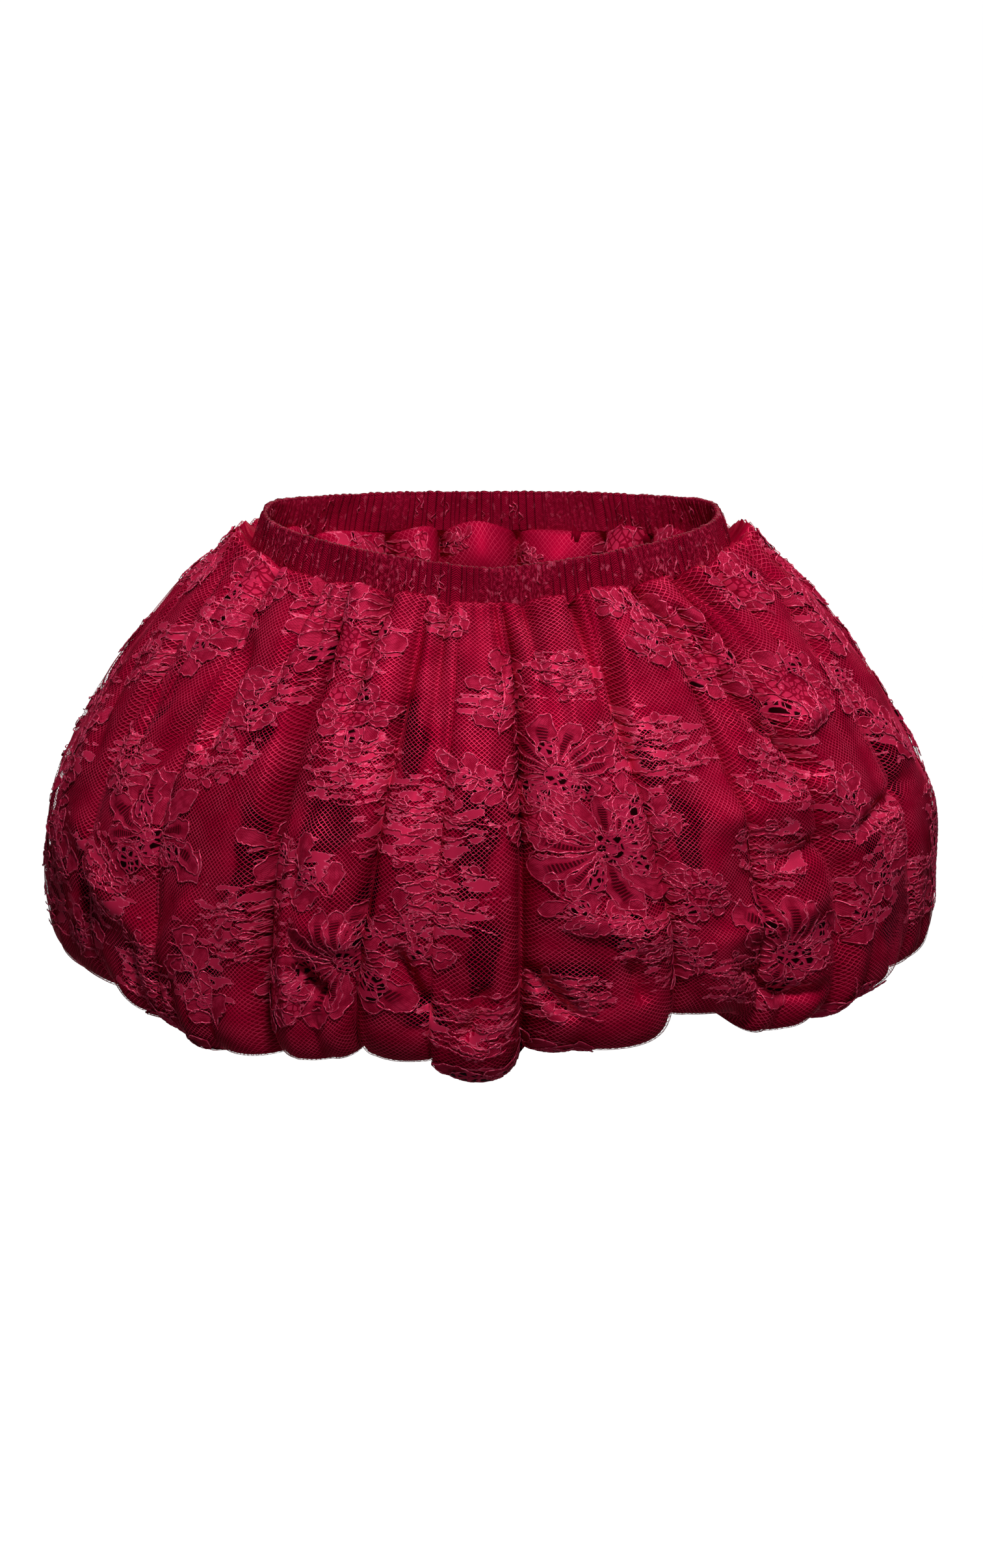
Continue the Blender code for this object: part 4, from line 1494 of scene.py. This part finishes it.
def leaves(rng, size):
    """A short branch: a wavering stem with scalloped leaves on both sides."""
    parts = new_parts()
    t = np.linspace(0.0, 1.0, 30)
    sway = 5.0 * np.sin(t * 4.0 + rng.uniform(0.0, 6.0))
    stem = np.stack([sway, 46.0 * (t - 0.5)], -1) * size
    parts["cords"].append(stem)
    for n in range(11):
        turn = math.radians((58.0 if n % 2 else -58.0) + rng.uniform(-30.0, 30.0))
        length = rng.uniform(9.0, 17.0) * size
        width, fullness = length * rng.uniform(0.45, 0.65), rng.uniform(0.4, 0.65)
        add_petal(parts, stem[1 + int(n * 2.5)], 1.2, length, width, turn, fullness, rng)
    for spot in (9, 20):
        parts["open"].append((stem[spot], 4.2 * size, 0.25))
        parts["cords"].append(ring(stem[spot], 2.4 * size, 0.2, rng))
    return parts


def spray(rng, size):
    """Rows of thin, wavering cord across the cloth, with a few small leaves on them."""
    parts = new_parts()
    for n in range(8):
        length = rng.uniform(16.0, 40.0) * size
        start = np.array([-length / 2.0 + rng.uniform(-9.0, 9.0) * size, (n - 3.5) * 4.6 * size])
        line = scroll(start, math.radians(90.0 + rng.uniform(-12.0, 12.0)), length, rng)
        parts["cords"].append(line)
        for spot in rng.choice(len(line), 2, replace=False):
            long = rng.uniform(4.0, 8.0)
            add_petal(parts, line[spot], 0.4, long, long * 0.6, rng.uniform(-2.4, 2.4), 0.5, rng)
    return parts


MOTIFS = {"fan": fan, "patch": patch, "leaves": leaves, "spray": spray}
print("motifs:", ", ".join(MOTIFS))

# %% [markdown]
# ## Where the lace lies
# The front's motifs stand where the photo shows them: the kind, the angle round the body, the drop
# from the waist in mm, the turn and the size. Lace like this is cut from one patterned cloth, so
# nothing is mirrored about the centre.

# %% Motif places
PLACE = ("kind", "angle", "drop", "turn", "size")
FRONT_LACE = [
    ("patch", -53, 19, 20, 0.96),
    ("leaves", -56, 52, -25, 1.2),
    ("patch", -27, 42, 10, 1.3),
    ("patch", -21, 88, 60, 0.96),
    ("leaves", 1, 76, 12, 0.96),
    ("fan", 9, 122, 15, 1.1),
    ("fan", 14, 166, 100, 1.3),
    ("leaves", 34, 40, -40, 1.1),
    ("patch", 40, 66, 0, 0.9),
    ("patch", 54, 88, 200, 1.2),
    ("leaves", 76, 58, 20, 1.2),
    ("leaves", 74, 136, 15, 1),
    ("spray", 24, 108, 10, 1.2),
    ("patch", 24, 204, 30, 0.83),
    ("fan", 38, 240, 60, 1.3),
    ("leaves", 55, 222, -30, 1.4),
    ("fan", -50, 176, 10, 1.3),
    ("leaves", -25, 180, 75, 1.3),
    ("fan", -16, 232, 115, 1.3),
    ("patch", -26, 252, 0, 0.9),
    ("spray", -8, 146, 0, 1.3),
    ("spray", -5, 190, 0, 1),
    ("leaves", -2, 124, 80, 0.77),
    ("spray", -60, 214, -20, 1.3),
    ("leaves", -40, 252, 40, 1.2),
    ("spray", -2, 262, 0, 0.9),
    ("leaves", 21, 246, 20, 0.9),
    ("spray", -71, 80, 20, 1),
    ("leaves", -77, 150, 10, 1.2),
    ("spray", -42, 118, 30, 0.9),
    ("leaves", 30, 18, 80, 0.77),
    ("patch", 60, 26, 0, 0.77),
    ("leaves", 53, 166, -20, 1),
    ("spray", 8, 258, 0, 0.77),
    ("spray", 37, 176, 0, 1),
    ("leaves", -74, 205, 30, 1),
    ("spray", 84, 190, 0, 1.2),
    ("leaves", 80, 235, 40, 1),
    ("leaves", -8, 22, 60, 0.58),
    ("leaves", -76, 26, 60, 0.9),
    ("leaves", -38, 82, 10, 1),
    ("spray", -19, 122, 10, 1),
    ("leaves", -33, 22, 80, 0.9),
    ("spray", 13, 60, 0, 0.77),
    ("spray", 45, 130, -15, 1.2),
    ("patch", 6, 150, 0, 0.7),
    ("leaves", 20, 150, 50, 0.9),
    ("spray", -32, 215, 15, 1.2),
    ("leaves", -8, 215, 40, 0.9),
    ("spray", 62, 190, 0, 1),
    ("patch", 68, 100, 0, 0.9),
    ("spray", -85, 110, 0, 1),
    ("spray", -60, 140, 0, 1),
    ("spray", -78, 242, 10, 1.2),
    ("leaves", -66, 252, -30, 1.1),
    ("leaves", -85, 212, 0, 1),
    ("spray", -52, 262, 0, 1),
    ("leaves", 86, 212, 20, 1.1),
    ("spray", 72, 240, 0, 1.1),
    ("spray", 30, 268, 0, 1),
    ("leaves", 12, 202, 70, 1),
    ("spray", 18, 224, 0, 0.8),
    ("fan", 3, 305, 180, 1.2),
    ("fan", -48, 300, 170, 1),
    ("fan", 52, 300, 190, 1),
]
print(len(FRONT_LACE), "motifs at the front")

# %% [markdown]
# ## Motifs by rule
# The back and most of the lining aren't in the photo, so a rule sets the same kinds in staggered
# columns, each a little off its place. The lining's puffs do show over the band's inside, so their
# motifs are placed one by one.

# %% Scattered motifs
SCATTER_ORDER = ("fan", "leaves", "spray", "patch", "spray", "leaves")
FAN_CLEARANCE = 60  # mm of drop that a fan's petals need over it


def scattered(angles, drops, size, seed):
    """Motifs of all kinds in staggered columns, each a little off its place."""
    rng = np.random.default_rng(seed)
    rows = []
    for column, angle in enumerate(angles):
        for row, drop in enumerate(drops):
            kind = SCATTER_ORDER[(2 * column + 3 * row) % len(SCATTER_ORDER)]
            if kind == "fan" and drop < FAN_CLEARANCE:
                kind = "patch"
            place = (angle + rng.uniform(-4, 4), drop + 27 * (column % 2) + rng.uniform(-9, 9))
            rows.append((kind, *place, rng.uniform(0, 360), size * rng.uniform(0.8, 1.25)))
    return rows


BACK_LACE = scattered(range(99, 265, 16), (26, 84, 140, 196, 250), 1.05, 8)
LINING_FRONT_LACE = scattered(range(-70, 80, 28), (40, 110, 180), 0.85, 4)
LINING_BACK_LACE = scattered(range(105, 260, 26), (100, 170), 0.85, 5) + [
    ("patch", 203, 14, 90, 0.75),
    ("leaves", 216, 12, 70, 0.7),
    ("leaves", 232, 22, 40, 0.8),
    ("spray", 246, 40, 0, 0.8),
    ("leaves", 190, 10, 85, 0.35),
    ("leaves", 171, 16, 95, 0.35),
    ("patch", 148, 12, 90, 0.75),
    ("leaves", 138, 14, 80, 0.75),
    ("patch", 124, 22, 60, 0.7),
    ("leaves", 110, 36, 20, 0.8),
]
print(len(BACK_LACE), "motifs at the back,", len(LINING_FRONT_LACE + LINING_BACK_LACE), "on the lining")

# %% [markdown]
# ## Setting motifs on the cloth
# A motif's millimetres become flat places at true size, and whatever would cross a cut edge is left
# out. The net is also more worked near a motif, so a second map says how near each place is to one.

# %% Laying out
EDGE_MARGIN = 2.0 * MM


def across_ground(ground, angle):
    """Metres across a front or back ground at an angle round the body."""
    return (angle - FIRST_ANGLE[ground.name]) / 180.0 * ground.width


def to_cloth(ground, u0, place, points):
    """Motif millimetres to flat places, at true size on the body."""
    points = turned(points, math.radians(place["turn"]))
    v = place["drop"] * MM - points[:, 1] * MM
    u = u0 + points[:, 0] * MM / ground.girth(np.clip(v, 0.01, ground.length))
    return np.stack([u, v], -1)


def inside_cloth(ground, flat):
    """Whether all of a part lies clear of the cut edges."""
    u, v = flat[..., 0], flat[..., 1]
    across = u.min() > EDGE_MARGIN and u.max() < ground.width - EDGE_MARGIN
    return across and v.min() > EDGE_MARGIN and v.max() < ground.length - 2.0 * EDGE_MARGIN


def lay_out(ground, places, seed):
    """All the parts of a ground's lace as flat places: strips, cords, crackle and open grounds."""
    laid = new_parts()
    for number, row in enumerate(places):
        place = dict(zip(PLACE, row))
        rng = np.random.default_rng(seed + number)
        parts = MOTIFS[place["kind"]](rng, place["size"])
        u0 = across_ground(ground, place["angle"])
        for strip, opened in zip(parts["strips"], parts["opened"]):
            flat = to_cloth(ground, u0, place, strip.reshape(-1, 2)).reshape(strip.shape)
            if inside_cloth(ground, flat):
                laid["strips"].append(flat)
                laid["opened"].append(opened)
        laid["cords"] += [to_cloth(ground, u0, place, line) for line in parts["cords"]]
        for kind in ("crackle", "open"):
            for centre, radius, rough in parts[kind]:
                edge = ring(centre, radius, rough, rng)
                rings = np.stack([mix(np.asarray(centre), edge, k) for k in RING_SHARES])
                flat = to_cloth(ground, u0, place, rings.reshape(-1, 2)).reshape(rings.shape)
                laid[kind].append(flat)
                laid["cords"].append(flat[-1])
    for kind in ("cords", "crackle", "open"):
        laid[kind] = [part for part in laid[kind] if inside_cloth(ground, part)]
    return laid


# How far round its middle a motif of size 1 reaches, in mm. The net is more worked within it.
REACH = {"fan": 26.0, "patch": 27.0, "leaves": 25.0, "spray": 31.0}


def lace_nearness(ground, places, flat):
    """From 0 to 1: how near each flat place is to the middle of a motif."""
    total = np.zeros(flat.shape[:-1])
    for row in places:
        place = dict(zip(PLACE, row))
        u0, v0 = across_ground(ground, place["angle"]), place["drop"] * MM
        reach = REACH[place["kind"]] * place["size"] * MM
        off = np.hypot((flat[..., 0] - u0) * ground.girth(v0), 1.25 * (flat[..., 1] - v0))
        total = np.maximum(total, np.exp(-((off / reach) ** 2)))
    return total


print("reach of a motif in mm:", REACH)

# %% [markdown]
# ## Petals, grounds and cords as meshes
# The fill lies about half a millimetre over the net, and no two petals at quite the same height, so
# that they can overlap. Each cord is a tent of three points across, open
# underneath where it is stitched down, with beads along it and a small sideways wander, which is
# what makes corded lace sparkle.

# %% Lace meshes
UNOPENED = 3.0  # moves a part's petal map past the slit
CORD_HEIGHT = 0.8 * MM  # how far off the net a cord's sides lie
CORD_RADIUS, CORD_STEP = 0.36 * MM, 1.28 * MM
WANDER, WANDER_STEP, JITTER = 0.42 * MM, 2.6 * MM, 0.13 * MM
BEAD_LENGTH = 0.95 * MM
FILL_LIFT = (0.4, 0.8)  # least and most height of a strip off the net, in mm
GROUND_LOOKS = [("crackle", 0.3 * MM, CRACKLE_LOOK), ("open", 0.95 * MM, OPEN_LOOK)]


def patch_mesh(ground, name, parts, heights, opened, material):
    """One mesh of many small grids of flat places, with cloth and petal maps.

    The petal map runs from -1 to 1 across. Parts that aren't opened are mapped past that.
    """
    verts, faces, cloth, petals, first = [], [], [], [], 0
    for flat, height, has_slit in zip(parts, heights, opened):
        rows, columns = flat.shape[:2]
        points, _ = raised_points(ground, flat[..., 0], flat[..., 1], height)
        grid = grid_faces(rows, columns)
        along, across = np.meshgrid(np.linspace(0, 1, rows), np.linspace(-1, 1, columns), indexing="ij")
        verts.append(points.reshape(-1, 3))
        faces.append(grid + first)
        cloth.append(ground.weave(flat[..., 0], flat[..., 1], grid))
        across = across + (0.0 if has_slit else UNOPENED)
        petals.append(np.stack([across.reshape(-1)[grid], along.reshape(-1)[grid]], -1))
        first += rows * columns
    verts, faces = np.concatenate(verts), np.concatenate(faces)
    piece = new_piece(name, verts, faces, material, ground.node)
    set_map(piece, "cloth", np.concatenate(cloth))
    set_map(piece, "petal", np.concatenate(petals))
    return piece


def cord_line(ground, flat, rng):
    """One cord resampled in even steps, with its wander, as flat places and lengths."""
    length_u = np.diff(flat[:, 0]) * ground.girth(flat[1:, 1])
    run = np.concatenate([[0.0], np.cumsum(np.hypot(length_u, np.diff(flat[:, 1])))])
    count = max(int(run[-1] / CORD_STEP), 4)
    at = np.linspace(0.0, run[-1], count)
    knots = np.arange(0.0, run[-1] + 3.0 * MM, WANDER_STEP)
    wander = [np.interp(at, knots, rng.normal(0.0, WANDER, len(knots))) for _ in range(2)]
    jitter = rng.normal(0.0, JITTER, (2, count))
    u = np.interp(at, run, flat[:, 0]) + wander[0] + jitter[0]
    v = np.interp(at, run, flat[:, 1]) + wander[1] + jitter[1]
    return u, np.clip(v, 0.001, ground.length - 0.001), at


def cord_mesh(ground, name, lines, seed):
    """One mesh of all the cords on a ground, whose cloth map runs along them."""
    rng = np.random.default_rng(seed)
    runs = [cord_line(ground, flat, rng) for flat in lines]
    u, v, at = (np.concatenate([run[k] for run in runs]) for k in range(3))
    line = np.concatenate([np.full(len(run[0]), n) for n, run in enumerate(runs)])
    centre, normal = raised_points(ground, u, v, CORD_HEIGHT)
    side = np.cross(normal, np.gradient(centre, axis=0))
    side /= np.maximum(np.linalg.norm(side, axis=-1, keepdims=True), 1e-9)
    bead = 1.0 + 0.32 * np.sin(at / BEAD_LENGTH * math.pi + line * 1.7)
    reach = (CORD_RADIUS * bead)[:, None]
    verts = np.stack([centre - side * reach, centre + normal * reach * 1.3, centre + side * reach], 1)
    base = np.flatnonzero(line[:-1] == line[1:])[:, None] * 3
    faces = np.concatenate([base + [0, 3, 4, 1], base + [1, 4, 5, 2]])
    piece = new_piece(name, verts.reshape(-1, 3), faces, CORD_LOOK, ground.node)
    flat = np.stack([at + line * 0.013, line * 0.0071 + np.zeros_like(at)], -1)
    set_map(piece, "cloth", np.repeat(flat, 3, axis=0)[faces])
    print(name, round(float(sum(run[2][-1] for run in runs)), 1), "m of cord")
    return piece


def lace_pieces(ground, places, seed):
    """Every lace piece of a ground, and the map that makes its net more worked near them."""
    title = "lace_" + ground.node
    laid = lay_out(ground, places, seed)
    cloth, flat = NETTED[ground.node]
    near = lace_nearness(ground, places, flat)
    set_map(cloth, "lace", np.stack([near, near], -1))
    rng = np.random.default_rng(seed)
    lift = rng.uniform(*FILL_LIFT, len(laid["strips"])) * MM
    print(title, {kind: len(laid[kind]) for kind in laid})
    pieces = [patch_mesh(ground, title + "_fill", laid["strips"], lift, laid["opened"], FILL_LOOK)]
    for kind, height, look in GROUND_LOOKS:
        parts = laid[kind]
        plain = [False] * len(parts)
        pieces.append(patch_mesh(ground, title + "_" + kind, parts, [height] * len(parts), plain, look))
    pieces.append(cord_mesh(ground, title + "_cord", laid["cords"], seed + 1))
    return pieces


print("cords are", round(2000.0 * CORD_RADIUS, 2), "mm wide")

# %% [markdown]
# ## Cord on the waistband
# Where lace is folded over the elastic, short bits of its cord stand up in the ruches. They have no
# pattern left, so they are scattered along the worked stretches of the band.

# %% Waistband cords
# Each worked stretch: from and to in degrees, and how many bits of cord.
BAND_LACE = [
    (-75, -38, 26),
    (-32, -6, 34),
    (2, 12, 8),
    (34, 72, 40),
    (96, 150, 44),
    (172, 200, 30),
    (210, 262, 40),
]


def band_cords():
    """Short, upright squiggles of cord, caught in the ruches on both faces of the band."""
    rng = np.random.default_rng(90)
    lines = []
    for start, end, count in BAND_LACE:
        for _ in range(count):
            u0 = (rng.uniform(start, end) + 90.0) / 360.0 * BAND_ROUND
            inner = rng.uniform() < 0.5
            v0 = (0.0 if inner else BAND_TURN) + rng.uniform(0.1, 0.75) * BAND_HEIGHT
            long = rng.uniform(3.0, 9.0)
            t = np.linspace(0.0, 1.0, 9)
            u = u0 + (0.9 * np.sin(t * rng.uniform(4.0, 9.0)) + rng.uniform(-1.2, 1.2) * t) * MM
            v = np.minimum(v0 + long * t * MM, (0.97 if inner else 2.1) * BAND_HEIGHT)
            lines.append(np.stack([u, v], -1))
    return lines


print(sum(count for _, _, count in BAND_LACE), "bits of cord on the band")

# %% [markdown]
# ## All the lace
# Each ground gets its own lace pieces, so that the lace stays with the cloth that it is worked on.
# Every ground has its own seed, which keeps its motifs as they are when another ground changes.

# %% All the lace
for ground, places, seed in (
    (OUTER_GROUNDS[0], FRONT_LACE, 100),
    (OUTER_GROUNDS[1], BACK_LACE, 300),
    (LINING_GROUNDS[0], LINING_FRONT_LACE, 500),
    (LINING_GROUNDS[1], LINING_BACK_LACE, 600),
):
    lace_pieces(ground, places, seed)
cord_mesh(BAND_GROUND, "lace_waistband_cord", band_cords(), 91)

# %% [markdown]
# ## Flat sizes
# A sheet's flat size is what would be cut from the roll, which is more than the finished size because
# the gathers take some up. The size of an outer half is printed.

# %% Sheet sizes
for ground in OUTER_GROUNDS:
    satin, net = SHEETS[ground.node]
    flat = (HALF_CLOTH_WIDTH, round(CLOTH_LENGTH, 3))
for ground in LINING_GROUNDS:
    lining = SHEETS[ground.node][0]
print("an outer half is cut", HALF_CLOTH_WIDTH, "x", round(CLOTH_LENGTH, 3), "m")

# %% [markdown]
# ## Finish
